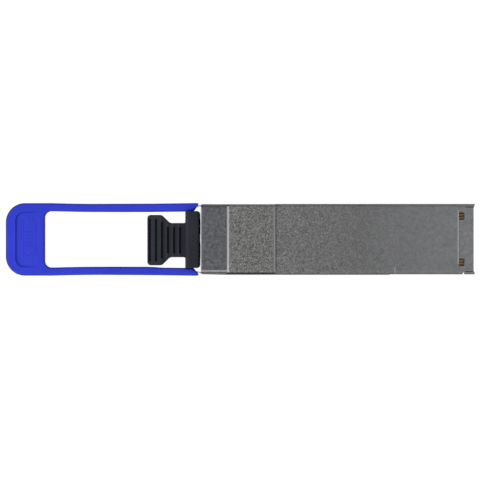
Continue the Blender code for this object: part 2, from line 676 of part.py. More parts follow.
def tab_half_width(x):
    """Half width of the tab: widest at the grip and at the tips, drawn in a little between."""
    if x < TAB_WAIST_X:
        share = min(1.0, (TAB_WAIST_X - x) / (TAB_WAIST_X - TAB_GRIP_X))
        return TAB_WAIST_HALF + (TAB_GRIP_HALF - TAB_WAIST_HALF) * share ** 2
    share = (x - TAB_WAIST_X) / (TAB_TIP_OUTER - TAB_WAIST_X)
    return TAB_WAIST_HALF + (TAB_TIP_HALF - TAB_WAIST_HALF) * share ** 2


def tab_inner_half(x):
    """Half width of the tab's window, which leaves an arm that thickens towards its tip."""
    share = max(0.0, (x - TAB_WAIST_X) / (TAB_TIP_OUTER - TAB_WAIST_X))
    return tab_half_width(x) - TAB_ARM_THICK - (TAB_TIP_THICK - TAB_ARM_THICK) * share


def tab_outline(inset):
    """The loop's outline, drawn in by an inset: an open C whose two arms end in slanted tips."""
    stations = [TAB_WAIST_X + (TAB_TIP_OUTER - TAB_WAIST_X) * step / 4 for step in range(-2, 4)]
    corner = (TAB_END + TAB_CORNER_R, TAB_GRIP_HALF - TAB_CORNER_R)
    window = (TAB_WINDOW + TAB_WINDOW_R, tab_inner_half(TAB_WINDOW) - TAB_WINDOW_R)
    half = arc(window, TAB_WINDOW_R + inset, 180, 90, 5)
    half += [(x, tab_inner_half(x) + inset) for x in stations]
    half += [(TAB_TIP_INNER - inset, tab_inner_half(TAB_TIP_INNER) + inset)]
    half += [(TAB_TIP_OUTER - 1.4 * inset, tab_half_width(TAB_TIP_OUTER) - inset)]
    half += [(x, tab_half_width(x) - inset) for x in reversed(stations)]
    half += arc(corner, TAB_CORNER_R - inset, 90, 180, 10)
    return list(reversed(half)) + [(x, -y) for x, y in half]


def make_pull_tab(parent):
    """The moulded loop: a wide grip with a finger recess, two arms, and slots for the tangs."""
    turn = 0.3 * TAB_EDGE_R
    levels = [(TAB_Z[0], TAB_EDGE_R), (TAB_Z[0] + turn, turn), (TAB_Z[0] + TAB_EDGE_R, 0)]
    levels += [(TAB_Z[0] + TAB_Z[1] - z, inset) for z, inset in reversed(levels)]
    tab = stack("pull_tab", [(z, tab_outline(inset)) for z, inset in levels], "blue_tab")
    for name, z, rise in (("upper", TAB_Z[1], 1.0), ("lower", TAB_Z[0], -1.0)):
        start, end = TAB_RECESS_X
        slope = TAB_RECESS_DEPTH / (end - start)
        ramp = [
            (start, z - TAB_RECESS_DEPTH * rise), (end + BEYOND, z + slope * BEYOND * rise),
            (end + BEYOND, z + rise), (start, z + rise),
        ]
        combine(tab, prism("tab_recess_" + name, ramp, "Y", (-TAB_RECESS_HALF, TAB_RECESS_HALF)))
    for name, sign in SIDES.items():
        slot_x = (TANG_END - RUNNING, TAB_TIP_OUTER + BEYOND)
        slot_y = both(TANG_INNER - RUNNING, TANG_OUTER + RUNNING, sign)
        slot_z = (TANG_Z[0] - RUNNING, TANG_Z[1] + RUNNING)
        combine(tab, box("tab_slot_" + name, slot_x, slot_y, slot_z))
    tab.data.shade_smooth()
    tab.data.set_sharp_from_angle(angle=CREASE)
    attach(tab, parent)


def make_dust_plug(parent):
    """The rubber plug: ribbed head and neck, a flange notched for the tab arms, two tongues."""
    outline = mirror_outline([
        (PLUG_HEAD_X[0], PLUG_HEAD_HALF - PLUG_CORNER), (PLUG_HEAD_X[0] + PLUG_CORNER, PLUG_HEAD_HALF),
        (PLUG_HEAD_X[1], PLUG_HEAD_HALF), (PLUG_NECK_X[0], PLUG_NECK_HALF), (PLUG_NECK_X[1], PLUG_NECK_HALF),
    ])
    plug = prism("dust_plug", outline, "Z", PLUG_GRIP_Z, "black_rubber")
    for index in range(PLUG_GROOVES):
        x = PLUG_GROOVE_FIRST + PLUG_GROOVE_PITCH * index
        half = PLUG_HEAD_HALF - PLUG_GROOVE_MARGIN["head"]
        if x > (PLUG_HEAD_X[1] + PLUG_NECK_X[0]) / 2:
            half = PLUG_NECK_HALF - PLUG_GROOVE_MARGIN["neck"]
        for name, z, rise in (("upper", PLUG_GRIP_Z[1], 1.0), ("lower", PLUG_GRIP_Z[0], -1.0)):
            span = tuple(sorted((z - PLUG_GROOVE_DEPTH * rise, z + rise)))
            groove_x = (x - PLUG_GROOVE_WIDTH / 2, x + PLUG_GROOVE_WIDTH / 2)
            combine(plug, box("plug_groove_" + name + "_" + str(index), groove_x, (-half, half), span))
    notch_z = (TAB_Z[0] - GAP, TAB_Z[1] + GAP)
    half = [
        (PLUG_FLANGE_HALF, PLUG_FLANGE_Z[0]), (PLUG_FLANGE_HALF, notch_z[0]), (PLUG_FLANGE_NOTCH, notch_z[0]),
        (PLUG_FLANGE_NOTCH, notch_z[1]), (PLUG_FLANGE_HALF, notch_z[1]), (PLUG_FLANGE_HALF, PLUG_FLANGE_Z[1]),
    ]
    section = half + [(-y, z) for y, z in reversed(half)]
    combine(plug, prism("plug_flange", section, "X", PLUG_FLANGE_X), "UNION")
    for name, sign in SIDES.items():
        y = PORT_Y * sign
        tongue_x = (PLUG_FLANGE_X[1] - 0.5, PLUG_TONGUE_TIP)
        tongue_y = (y - PLUG_TONGUE_HALF, y + PLUG_TONGUE_HALF)
        tongue_z = (PORT_Z - PLUG_TONGUE_HALF, PORT_Z + PLUG_TONGUE_HALF)
        combine(plug, box("plug_tongue_" + name, tongue_x, tongue_y, tongue_z), "UNION")
        bore_x = (PLUG_BORE_START, PLUG_TONGUE_TIP + BEYOND)
        combine(plug, rod("plug_bore_" + name, PLUG_BORE_R, "X", (0, y, PORT_Z), bore_x))
    attach(plug, parent)


def main():
    """Clear the scene and build every piece."""
    for obj in list(bpy.data.objects):
        bpy.data.objects.remove(obj)
    latch_slide = joint_empty("latch_slide_axis", (SPRING_X[1], 0, SPRING_Z))
    plug_slide = joint_empty("dust_plug_axis", (PLUG_FLANGE_X[1], 0, PORT_Z))
    make_top_shell()
    make_bottom_shell()
    make_screws()
    make_receptacle()
    make_optics("tosa", SIDES["left"])
    make_optics("rosa", SIDES["right"])
    make_board()
    make_components()
    for name, sign in SIDES.items():
        make_latch_arm(name, sign, latch_slide)
        make_return_spring(name, sign)
    make_pull_tab(latch_slide)
    make_dust_plug(plug_slide)


main()
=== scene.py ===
"""Looks of the pluggable optical transceiver module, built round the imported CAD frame.

Shapes are drawn in millimetres and scaled to metres when they are settled on their body.
+X runs from the optical ports to the card edge and +Z towards the heat-sink face.
"""

import math

import bmesh
import bpy
from mathutils import Matrix, Vector


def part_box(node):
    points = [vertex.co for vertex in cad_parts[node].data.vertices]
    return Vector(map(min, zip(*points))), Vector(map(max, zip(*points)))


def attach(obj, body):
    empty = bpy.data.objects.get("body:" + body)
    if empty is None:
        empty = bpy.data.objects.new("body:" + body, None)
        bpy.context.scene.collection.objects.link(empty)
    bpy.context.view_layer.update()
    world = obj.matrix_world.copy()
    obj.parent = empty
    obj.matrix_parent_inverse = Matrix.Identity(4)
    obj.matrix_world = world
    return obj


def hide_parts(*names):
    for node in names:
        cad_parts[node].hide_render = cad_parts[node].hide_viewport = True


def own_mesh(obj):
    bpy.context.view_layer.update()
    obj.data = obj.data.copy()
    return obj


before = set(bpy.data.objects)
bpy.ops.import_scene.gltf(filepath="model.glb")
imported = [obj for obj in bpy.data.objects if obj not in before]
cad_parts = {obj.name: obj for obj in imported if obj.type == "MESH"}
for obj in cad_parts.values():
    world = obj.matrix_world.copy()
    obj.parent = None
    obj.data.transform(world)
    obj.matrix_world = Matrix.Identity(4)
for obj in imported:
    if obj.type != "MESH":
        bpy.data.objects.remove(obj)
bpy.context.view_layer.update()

MM = 0.001


def limits(node):
    """Lowest and highest corner of a CAD node, in millimetres."""
    low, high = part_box(node)
    return low / MM, high / MM


def middle(node):
    """The middle of a CAD node as seen from above, in millimetres."""
    low, high = limits(node)
    return (low.x + high.x) / 2, (low.y + high.y) / 2


def spans(node):
    """How far a CAD node reaches along X, Y and Z, in millimetres."""
    return list(zip(*limits(node)))


LID_LOW, LID_HIGH = limits("top_shell")
TAB_LOW, TAB_HIGH = limits("pull_tab")
PLUG_LOW, PLUG_HIGH = limits("dust_plug")
ARM_LOW, ARM_HIGH = limits("latch_arm_left")
CARD_LOW, CARD_HIGH = limits("main_board")

BEYOND = 1.0                 # how far a cutter reaches past the material
LAP = 0.1                    # how far joined solids reach into each other
SEAM = 0.08                  # gap that shows between the lid and the tray
SIDES = {"left": 1.0, "right": -1.0}
PLANES = {"X": (1, 2, 0), "Y": (0, 2, 1), "Z": (0, 1, 2)}
WIDE = (-12.0, 12.0)
WELD = {"cut": 0.002, "final": 0.0015}    # points closer than this become one
FLAT = math.radians(0.5)     # faces that turn less than this are one face

# Housing
NOSE_FRONT = LID_LOW.x
HOUSING_END = LID_HIGH.x
AHEAD = NOSE_FRONT - BEYOND    # where cutters start and end along the housing
BEHIND = HOUSING_END + BEYOND
BODY_HALF = LID_HIGH.y
BLOCK_TOP = LID_HIGH.z
BODY_TOP = BLOCK_TOP - 0.3
NOSE_TOP = BLOCK_TOP - 0.8
STRIP_TOP = BLOCK_TOP - 0.55
PARTING = limits("bottom_shell")[1].z
LID_BOTTOM = PARTING + SEAM
BLOCK_FRONT = -12.46
BLOCK_BEVEL = (0.47, 0.30)   # how wide along X, and how high
REAR_STEP = 47.87
LIP_END = HOUSING_END - 0.26
HORN_START = 49.6
BLOCK_HALF = 8.65
NOSE_HALF = 8.52
LEDGE_HALF = 9.07            # a ledge beside the raised block, on the left only
LEDGE_TOP = BODY_TOP + 0.06
LEDGE_START = BLOCK_FRONT + 0.6
LIP_HALF = 8.3
HORN_INNER = 8.6
STRIP_HALF = 8.4
NOSE_CHAMFER = (0.44, 0.34)  # how wide, and how high
ROOF = 7.3
LIP_BOTTOM = 7.25
FLOOR = 1.2
SHOULDER_GROOVE = (0.02, 0.3)
WINDOW_X = (48.0, 49.35)
WINDOW_Y = (5.09, 6.99)
SLIT_X = (48.92, 49.45)
SLIT_Y = (-BODY_HALF - BEYOND, 0.42 - BODY_HALF)
POCKET_HALF = 7.2
POCKET_END = -8.9
POCKET_FLOOR = 0.7
OPTICS_HALF = 6.75
OPTICS_END = 8.0
HALL_HALF = 7.9
HALL_END = 46.9
REAR_OPENING = 45.5
REAR_WALL_INNER = 8.27
CHANNEL_FLOOR_Y = 8.6
CHANNEL_Z = (2.3, 5.7)
CHANNEL_END = 34.0
EDGE = 0.14                  # rounding of the tray's edges
LID_EDGE = 0.07
RIBS = ((12.0, 13.0), (34.6, 35.6))    # under the card
SPRING_BAY = (-7.2, 1.0)
SPRING_ROOM = 0.7            # clearance round a spring's axis
LABEL_RECESS = ((8.5, 37.0), (-7.5, 7.5), 0.8)    # reach along X and Y, and corner
BOSS_HALF = 1.45
SEAT = (1.55, 1.35, 1.3)     # screw seat: rim and wall radius, and depth

SCREWS = ["shell_screw_" + end + "_" + side for end in ("front", "rear") for side in SIDES]

# Latch
TANG_Z = (3.1, 4.9)
TANG_Y = (8.4, 8.75)
TANG_END = ARM_LOW.x
ARM_TIP = ARM_HIGH.x
TIP_Y = (8.80, 8.98)
ARM_OUTER = {"left": (9.17, 9.10), "right": (9.19, 9.33)}    # beside the nose, and behind it
FLARE_X = (-20.6, -19.6)     # where the tang widens to the arm's full height
SHEET = 0.2                  # thickness of the arms' steel
LUG_X = (-0.1, 0.6)
LUG_HALF = 0.55
JOG_X = (-20.1, -18.9)
LIP_INNER = 8.67             # the arms' folded lips reach this far in
SPRING_Y = 7.9
SPRING_Z = 4.0
ARM_SLOTS = ((8.0, 12.5), (20.0, 24.5))

# Tab
TAB_END = TAB_LOW.x
TAB_WINDOW = -60.16
TAB_TIP_OUTER = TAB_HIGH.x + 0.1
TAB_TIP_INNER = TAB_TIP_OUTER - 1.2
TAB_CORNER = 5.0
TAB_WINDOW_CORNER = 1.7
TAB_TIP_HALF = TAB_HIGH.y + 0.06
TAB_SHIFT = -0.06            # the loop sits a little to one side, with the latch
TAB_GRIP_HALF = TAB_TIP_HALF - 0.04
TAB_WAIST_HALF = TAB_TIP_HALF - 0.24
TAB_WAIST_X = -46.0
TAB_GRIP_X = -58.0
TAB_ARM = 2.12
TAB_TIP = 2.22
TAB_ARM_MIDDLE = 8.0
TAB_THINNER = 0.2            # the right arm is this much thinner beside the plug
TAB_ROUND = 0.62
TAB_RECESS = (-67.88, -61.2)
TAB_RECESS_Y = (-7.38, 7.1)
TAB_RECESS_CORNER = 2.2
TAB_RECESS_DEPTH = 0.43
TAB_RECESS_WALL = 0.32
BAR_RISE = 0.07

# Ports and dust plug
PORT_Y = 3.125
PORT_Z = 3.575
PORT_HALF = 2.35
PORT_HEIGHT_HALF = 2.325
PORT_END = -10.4
HEAD_X = (PLUG_LOW.x + 0.13, -29.55)
GRIP_SHIFT = -0.25           # the soft grip leans a little to one side of its flange
HEAD_HALF = 6.585
NECK_X = (-27.35, -23.3)
NECK_HALF = 4.47
GRIP_Z = (1.9, 5.9)
FLANGE_X = (-23.4, -19.55)
FLANGE_HALF = PLUG_HIGH.y
FLANGE_SHIFT = -0.1
FLANGE_Z = (PLUG_LOW.z, PLUG_HIGH.z)
TONGUE_TIP = PLUG_HIGH.x
TONGUE_HALF = 2.1
BORE_END = -18.0
GROOVE_X = (-32.72, -31.05, -29.48, -27.93, -26.34, -24.77)
GROOVE_WIDTH = 0.58
GROOVE_DEPTH = 0.62

# Card edge
CONTACTS = 19
CONTACT_PITCH = 0.8
CONTACT_HALF = 0.27
CONTACT_RISE = 0.03
CONTACT_START = (47.2, 47.7, 47.7)    # every third contact is longer
CARD_WAIST = 7.6
CARD_NOTCH = (39.25, 42.75)
CARD_NOTCH_Y = 5.35
CARD_TONGUE = 44.9


# ---------------------------------------------------------------- mesh helpers, in millimetres

def add_object(name, data):
    """A new object in the scene."""
    obj = bpy.data.objects.new(name, data)
    bpy.context.scene.collection.objects.link(obj)
    return obj


def new_mesh(name, bm):
    """A mesh from a bmesh, which is freed."""
    mesh = bpy.data.meshes.new(name)
    bm.to_mesh(mesh)
    bm.free()
    return mesh


def raw(bm):
    """A working object in millimetres from a bmesh."""
    bmesh.ops.recalc_face_normals(bm, faces=bm.faces)
    return add_object("work", new_mesh("work", bm))


def slab(x, y, z):
    """A block between two limits along each axis."""
    bm = bmesh.new()
    bmesh.ops.create_cube(bm, size=1.0)
    bmesh.ops.scale(bm, verts=bm.verts, vec=Vector([high - low for low, high in (x, y, z)]))
    bmesh.ops.translate(bm, verts=bm.verts, vec=Vector([(low + high) / 2 for low, high in (x, y, z)]))
    return raw(bm)


def skin(loops):
    """A closed solid through loops of points, with a cap at each end."""
    bm = bmesh.new()
    rings = [[bm.verts.new(point) for point in loop] for loop in loops]
    for lower, upper in zip(rings, rings[1:]):
        for index in range(len(lower)):
            after = (index + 1) % len(lower)
            bm.faces.new([lower[index], lower[after], upper[after], upper[index]])
    bm.faces.new(rings[0])
    bm.faces.new(rings[-1])
    return raw(bm)


def placed(axis, a, b, place):
    """A point from its two coordinates across an axis and its place along it."""
    first, second, along = PLANES[axis]
    point = [0.0, 0.0, 0.0]
    point[first], point[second], point[along] = a, b, place
    return point


def stack(rings, axis="Z"):
    """A closed solid between outlines of equal length, given with their places along an axis."""
    return skin([[placed(axis, a, b, place) for a, b in outline] for place, outline in rings])


def prism(outline, axis, span):
    """An outline in the plane of the other two axes, extruded along an axis."""
    return stack([(place, outline) for place in span], axis)


def circle(steps):
    """Angles once round a circle."""
    return [2 * math.pi * step / steps for step in range(steps)]


def turned(profile, axis, centre, segments=32):
    """A profile of (radius, place) points, turned about an axis through a centre."""
    first, second, _ = PLANES[axis]
    bm = bmesh.new()
    rings = []
    for radius, place in profile:
        rings.append([
            bm.verts.new(placed(axis, centre[first] + radius * math.cos(angle),
                                centre[second] + radius * math.sin(angle), place))
            for angle in circle(segments)[:segments if radius > 0 else 1]
        ])
    for near, far in zip(rings, rings[1:]):
        for step in range(segments):
            after = (step + 1) % segments
            corners = [near[step % len(near)], near[after % len(near)]]
            corners += [far[after % len(far)], far[step % len(far)]]
            bm.faces.new(list(dict.fromkeys(corners)))
    return raw(bm)


def sweep(path, radius):
    """A round wire along a list of points, closed at both ends."""
    loops = []
    for index, point in enumerate(path):
        heading = (path[min(index + 1, len(path) - 1)] - path[max(index - 1, 0)]).normalized()
        across = heading.cross(Vector((1, 0, 0)))
        across = across.normalized() if across.length > 1e-3 else Vector((0, 1, 0))
        up = across.cross(heading)
        loops.append([point + radius * (math.cos(a) * across + math.sin(a) * up) for a in circle(8)])
    return skin(loops)


def arc(centre, radius, start, end, steps):
    """Points along an arc between two angles in degrees."""
    angles = [math.radians(start + (end - start) * step / steps) for step in range(steps + 1)]
    return [(centre[0] + radius * math.cos(a), centre[1] + radius * math.sin(a)) for a in angles]


def rounded(x, y, radius, steps=6):
    """A rectangle with rounded corners, anticlockwise from its low corner."""
    corners = [
        (x[0] + radius, y[0] + radius, 180), (x[1] - radius, y[0] + radius, 270),
        (x[1] - radius, y[1] - radius, 0), (x[0] + radius, y[1] - radius, 90),
    ]
    points = []
    for a, b, start in corners:
        points += arc((a, b), radius, start, start + 90, steps)
    return points


def wider(span, by):
    """A span grown at both ends, or drawn in when the growth is negative."""
    return span[0] - by, span[1] + by


def about(centre, half):
    """A span that reaches as far to both sides of a centre."""
    return centre - half, centre + half


def mirrored(half):
    """A half outline on +Y closed with its mirror image on -Y."""
    return half + [(x, -y) for x, y in reversed(half)]


def both(low, high, sign):
    """A span on the +Y side, or its mirror image when the sign is negative."""
    return tuple(sorted((low * sign, high * sign)))


def bake(obj):
    """Replace an object's mesh by what its modifiers make of it."""
    graph = bpy.context.evaluated_depsgraph_get()
    mesh = bpy.data.meshes.new_from_object(obj.evaluated_get(graph))
    obj.modifiers.clear()
    obj.data = mesh
    return obj


def combine(obj, tools, operation="DIFFERENCE"):
    """Cut tools out of an object, or join them to it, one after another."""
    for tool in tools:
        modifier = obj.modifiers.new("combine", "BOOLEAN")
        modifier.operation = operation
        modifier.solver = "EXACT"
        modifier.object = tool
        bake(obj)
        bpy.data.objects.remove(tool)
    return obj


def join(parts):
    """Put several separate solids into one object."""
    bm = bmesh.new()
    for part in parts:
        bm.from_mesh(part.data)
        bpy.data.objects.remove(part)
    return raw(bm)


def soften(obj, width, segments, angle=30):
    """Round the edges that are sharper than an angle."""
    bm = bmesh.new()
    bm.from_mesh(obj.data)
    bmesh.ops.remove_doubles(bm, verts=bm.verts, dist=WELD["cut"])
    bmesh.ops.dissolve_limit(bm, angle_limit=FLAT, verts=bm.verts, edges=bm.edges, delimit=set())
    bm.to_mesh(obj.data)
    bm.free()
    modifier = obj.modifiers.new("soften", "BEVEL")
    modifier.width = width
    modifier.segments = segments
    modifier.limit_method = "ANGLE"
    modifier.angle_limit = math.radians(angle)
    modifier.miter_outer = "MITER_ARC"
    return bake(obj)


def tidy_mesh(mesh):
    """Weld the slivers that cutting leaves, and close the pinholes."""
    bm = bmesh.new()
    bm.from_mesh(mesh)
    bmesh.ops.remove_doubles(bm, verts=bm.verts, dist=WELD["final"])
    bmesh.ops.dissolve_degenerate(bm, edges=bm.edges, dist=WELD["final"])
    bmesh.ops.holes_fill(bm, edges=[edge for edge in bm.edges if edge.is_boundary], sides=6)
    bm.to_mesh(mesh)
    bm.free()


def settle(obj, name, finish, stands_for=(), body="housing", crease=38):
    """Scale a finished shape to metres, shade it, and put it on its CAD body."""
    obj.name = name
    obj.data.name = name
    tidy_mesh(obj.data)
    obj.data.shade_smooth()
    obj.data.set_sharp_from_angle(angle=math.radians(crease))
    weighted = obj.modifiers.new("weighted", "WEIGHTED_NORMAL")
    weighted.keep_sharp = True
    bake(obj)
    obj.data.transform(Matrix.Scale(MM, 4))
    obj.data.materials.clear()
    obj.data.materials.append(MATERIALS[finish])
    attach(obj, body)
    if stands_for:
        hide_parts(*stands_for)


# ---------------------------------------------------------------- materials, in millimetres

def grey(value):
    """A neutral colour from one number; a colour stays as it is."""
    return (value, value, value) if isinstance(value, float) else value


def feed(tree, node, inputs):
    """Link sockets to a node's inputs, or set plain values on them."""
    for key, value in inputs.items():
        if isinstance(value, bpy.types.NodeSocket):
            tree.links.new(value, node.inputs[key])
        else:
            node.inputs[key].default_value = value


def add_node(tree, kind, inputs=None, **settings):
    """A node with its settings, and with its inputs linked or set."""
    made = tree.nodes.new(kind)
    for key, value in settings.items():
        setattr(made, key, value)
    feed(tree, made, inputs or {})
    return made


class Finish:
    """A Principled material whose colour, roughness and relief come from procedural nodes."""

    def __init__(self, name, metallic=0.0, specular=0.5):
        self.material = bpy.data.materials.new(name)
        self.material.use_nodes = True
        self.tree = self.material.node_tree
        self.shader = self.tree.nodes["Principled BSDF"]
        feed(self.tree, self.shader, {"Metallic": metallic, "Specular IOR Level": specular})
        coordinates = self.node("ShaderNodeTexCoord").outputs["Object"]
        self.place = self.scaled(coordinates, 1 / MM)
        self.axes = self.node("ShaderNodeSeparateXYZ", {0: self.place}).outputs

    def node(self, kind, inputs=None, **settings):
        """A node in this material."""
        return add_node(self.tree, kind, inputs, **settings)

    def scaled(self, vector, share):
        """A place or a colour times a number."""
        return self.node("ShaderNodeVectorMath", {0: vector, "Scale": share}, operation="SCALE").outputs[0]

    def stretched(self, stretch, shift):
        """Place scaled by a factor along each axis, for grain that runs one way."""
        inputs = {0: self.place, 1: stretch, 2: (shift, shift, shift)}
        return self.node("ShaderNodeVectorMath", inputs, operation="MULTIPLY_ADD").outputs[0]

    def noise(self, scale, detail, stretch=(1, 1, 1), shift=0.0, rough=0.5):
        """Cloudy noise with about so many features to a millimetre."""
        inputs = {"Vector": self.stretched(stretch, shift), "Scale": scale, "Detail": detail,
                  "Roughness": rough}
        return self.node("ShaderNodeTexNoise", inputs).outputs["Fac"]

    def bands(self, axis, scale, distortion):
        """Even bands across an axis."""
        inputs = {"Vector": self.place, "Scale": scale, "Distortion": distortion}
        made = self.node("ShaderNodeTexWave", inputs, wave_type="BANDS", bands_direction=axis)
        return made.outputs["Fac"]

    def cells(self, scale, shift, jitter=1.0):
        """Distance from the nearest of scattered points, about so many to a millimetre."""
        inputs = {"Vector": self.stretched((1, 1, 1), shift), "Scale": scale, "Randomness": jitter}
        return self.node("ShaderNodeTexVoronoi", inputs).outputs["Distance"]

    def math(self, operation, a, b=0.0):
        """One arithmetic step."""
        return self.node("ShaderNodeMath", {0: a, 1: b}, operation=operation).outputs[0]

    def remap(self, value, low, high, to_low=0.0, to_high=1.0):
        """A value taken linearly, and clamped, from one range to another."""
        inputs = {"Value": value, "From Min": low, "From Max": high, "To Min": to_low, "To Max": to_high}
        return self.node("ShaderNodeMapRange", inputs).outputs["Result"]

    def along(self, axis, stops):
        """A colour ramp along an axis, with its stops in millimetres."""
        low, high = stops[0][0], stops[-1][0]
        made = self.node("ShaderNodeValToRGB", {"Fac": self.remap(self.axes[axis], low, high)})
        elements = made.color_ramp.elements
        while len(elements) < len(stops):
            elements.new(1.0)
        for element, (place, colour) in zip(elements, stops):
            element.position = (place - low) / (high - low)
            element.color = (*grey(colour), 1.0)
        return made.outputs["Color"]

    def mix(self, share, a, b, blend="MIX"):
        """Two colours mixed by a share."""
        a, b = [(*colour, 1.0) if isinstance(colour, tuple) else colour for colour in (a, b)]
        inputs = {0: share, 6: a, 7: b}
        return self.node("ShaderNodeMix", inputs, data_type="RGBA", blend_type=blend).outputs[2]

    def bump(self, height, depth, below=None, strength=1.0):
        """Relief of a depth in millimetres, on top of other relief."""
        inputs = {"Height": height, "Distance": depth * MM, "Strength": strength}
        if below is not None:
            inputs["Normal"] = below
        return self.node("ShaderNodeBump", inputs).outputs["Normal"]

    def finish(self, colour, roughness, normal):
        """Wire the results to the shader and give the material."""
        feed(self.tree, self.shader, {"Base Color": colour, "Roughness": roughness, "Normal": normal})
        return self.material


def cast_zinc(name, zones, grain):
    """Blasted and plated zinc casting: mottled grain with pits and bright specks.

    zones are colours along X, which may carry painted highlights and painted shadow, and grain is how
    strong and how soft the mottling is along X.
    """
    f = Finish(name, metallic=1.0)
    # colours along X times painted shade and painted highlight along Y
    base = f.mix(1.0, f.along("X", zones), f.along("Y", PAINTED_EDGE_SHADE_AND_HIGHLIGHT), blend="MULTIPLY")
    traits = f.along("X", [(place, (strong, soft, 0.0)) for place, strong, soft in grain])
    strength, softness = f.node("ShaderNodeSeparateColor", {0: traits}).outputs[:2]
    mottle = f.noise(2.1, 3.0, rough=0.6)
    fine = f.noise(3.4, 2.0, shift=7.0)
    pits = f.cells(1.5, shift=3.0)
    specks = f.cells(1.35, shift=11.0)
    cloud = f.noise(0.10, 1.0, shift=5.0)
    height = f.math("ADD", f.math("MULTIPLY", mottle, 0.5), f.math("MULTIPLY", fine, 0.5))
    blurred = f.noise(1.0, 2.0, shift=17.0)
    height = f.math("ADD", height, f.math("MULTIPLY", f.math("SUBTRACT", blurred, height), softness))
    tone = f.remap(height, 0.34, 0.66, 0.54, 1.46)
    tone = f.math("MULTIPLY", tone, f.remap(pits, 0.05, 0.22, 0.62, 1.0))
    tone = f.math("ADD", tone, f.remap(specks, 0.05, 0.24, 0.85, 0.0))
    tone = f.math("ADD", 1.0, f.math("MULTIPLY", f.math("SUBTRACT", tone, 1.0), strength))
    tone = f.math("MULTIPLY", tone, f.remap(cloud, 0.3, 0.7, 0.985, 1.015))
    tinted = f.scaled(base, tone)
    relief = f.math("MULTIPLY", f.math("ADD", height, f.remap(pits, 0.0, 0.25, -0.35, 0.0)), strength)
    polish = f.math("ADD", f.remap(fine, 0.3, 0.7, 0.29, 0.41), f.remap(cloud, 0.3, 0.7, -0.01, 0.01))
    return f.finish(tinted, polish, f.bump(relief, 0.05))


def painted_side_shade(f, tint, share):
    """A colour darkened where the surface turns over to the sides: painted shade on rounded edges and side
    walls.
    """
    normal = f.node("ShaderNodeNewGeometry").outputs["Normal"]
    up = f.node("ShaderNodeSeparateXYZ", {0: normal}).outputs["Z"]
    return f.scaled(tint, f.remap(f.math("ABSOLUTE", up), 0.45, 0.97, share, 1.0))


def drawn_steel(name, colour, stretch=(0.12, 3.0, 3.0), roughness=0.32, painted_highlight=None):
    """Rolled or drawn metal, with fine grain one way and faint smudges, and a painted highlight in front of
    an X.
    """
    f = Finish(name, metallic=1.0)
    grain = f.noise(2.2, 3.0, stretch=stretch)
    smudge = f.noise(0.5, 3.0, shift=9.0)
    tint = f.mix(f.remap(grain, 0.3, 0.7), tuple(0.82 * c for c in colour), colour)
    tint = f.mix(f.remap(smudge, 0.45, 0.75, 0.0, 0.35), tint, tuple(0.7 * c for c in colour))
    # painted highlight: a lighter colour in front of the given X
    if painted_highlight:
        tint = f.mix(f.remap(f.axes["X"], painted_highlight, painted_highlight + 0.2, 1.0, 0.0), tint, PAINTED_HIGHLIGHT_STEEL)
    polish = f.math("ADD", f.remap(grain, 0.3, 0.7, roughness - 0.06, roughness + 0.08),
                    f.remap(smudge, 0.4, 0.7, 0.0, 0.1))
    return f.finish(tint, polish, f.bump(grain, 0.012))


def moulded(name, colour, deep, roughness, grain=4.5, relief=0.012, specular=0.4, worn=None,
            sides=0.7, shade=None):
    """Moulded plastic or rubber: a fine eroded texture, slow colour drift, worn spots, painted shade where
    the surface turns to the sides, and painted shading along X when shade is given.
    """
    f = Finish(name, specular=specular)
    texture = f.noise(grain, 3.0, rough=0.6)
    drift = f.noise(0.12, 2.0, shift=4.0)
    flow = f.noise(0.45, 3.0, stretch=(0.35, 1.0, 1.0), shift=13.0)
    tint = f.mix(f.remap(drift, 0.3, 0.7), deep, colour)
    tint = f.mix(f.remap(texture, 0.3, 0.7, 0.0, 0.25), tint, deep)
    if worn:
        tint = f.mix(f.remap(f.cells(0.9, shift=6.0), 0.06, 0.2, 0.5, 0.0), tint, worn)
    # painted light and shade along X, when a ramp is given as shade
    if shade:
        tint = f.mix(1.0, tint, f.along("X", shade), blend="MULTIPLY")
    # painted shade: darker where the surface turns to the sides, by the share given as sides
    tint = painted_side_shade(f, tint, sides)
    polish = f.math("ADD", f.remap(texture, 0.3, 0.7, roughness + 0.06, roughness - 0.06),
                    f.remap(flow, 0.3, 0.7, -0.05, 0.05))
    normal = f.bump(texture, relief, below=f.bump(flow, 0.02, strength=0.5))
    return f.finish(tint, polish, normal)


def laminate(name):
    """Circuit laminate: a woven glass base under green varnish that stops short of the card edge."""
    f = Finish(name, specular=0.5)
    weave = f.math("MULTIPLY", f.bands("X", 0.9, 0.6), f.bands("Y", 0.9, 0.6))
    varnish = f.along("X", [(8.3, (0.012, 0.075, 0.035)), (46.6, (0.014, 0.082, 0.038)),
                            (46.9, (0.085, 0.055, 0.026)), (50.2, (0.095, 0.062, 0.03))])
    tint = f.mix(f.remap(weave, 0.0, 1.0, 0.0, 0.35), varnish, (0.05, 0.11, 0.05))
    tracks = f.cells(0.8, shift=2.0, jitter=0.3)
    tint = f.mix(f.remap(tracks, 0.42, 0.46, 0.0, 0.4), tint, (0.02, 0.13, 0.06))
    polish = f.remap(f.noise(3.0, 2.0), 0.3, 0.7, 0.28, 0.42)
    return f.finish(tint, polish, f.bump(weave, 0.008))


def sheeted(name, colour, accent, scale, roughness, relief=0.01):
    """A thin sheet or filled pad: fibres or filler grains in a soft base."""
    f = Finish(name, specular=0.4)
    fibres = f.noise(scale, 4.0, stretch=(1.0, 0.35, 1.0), rough=0.65)
    grains = f.cells(scale * 1.5, shift=8.0)
    tint = f.mix(f.remap(fibres, 0.35, 0.65), colour, accent)
    tint = f.mix(f.remap(grains, 0.08, 0.2, 0.4, 0.0), tint, accent)
    polish = f.remap(fibres, 0.3, 0.7, roughness - 0.07, roughness + 0.07)
    return f.finish(tint, polish, f.bump(fibres, relief))


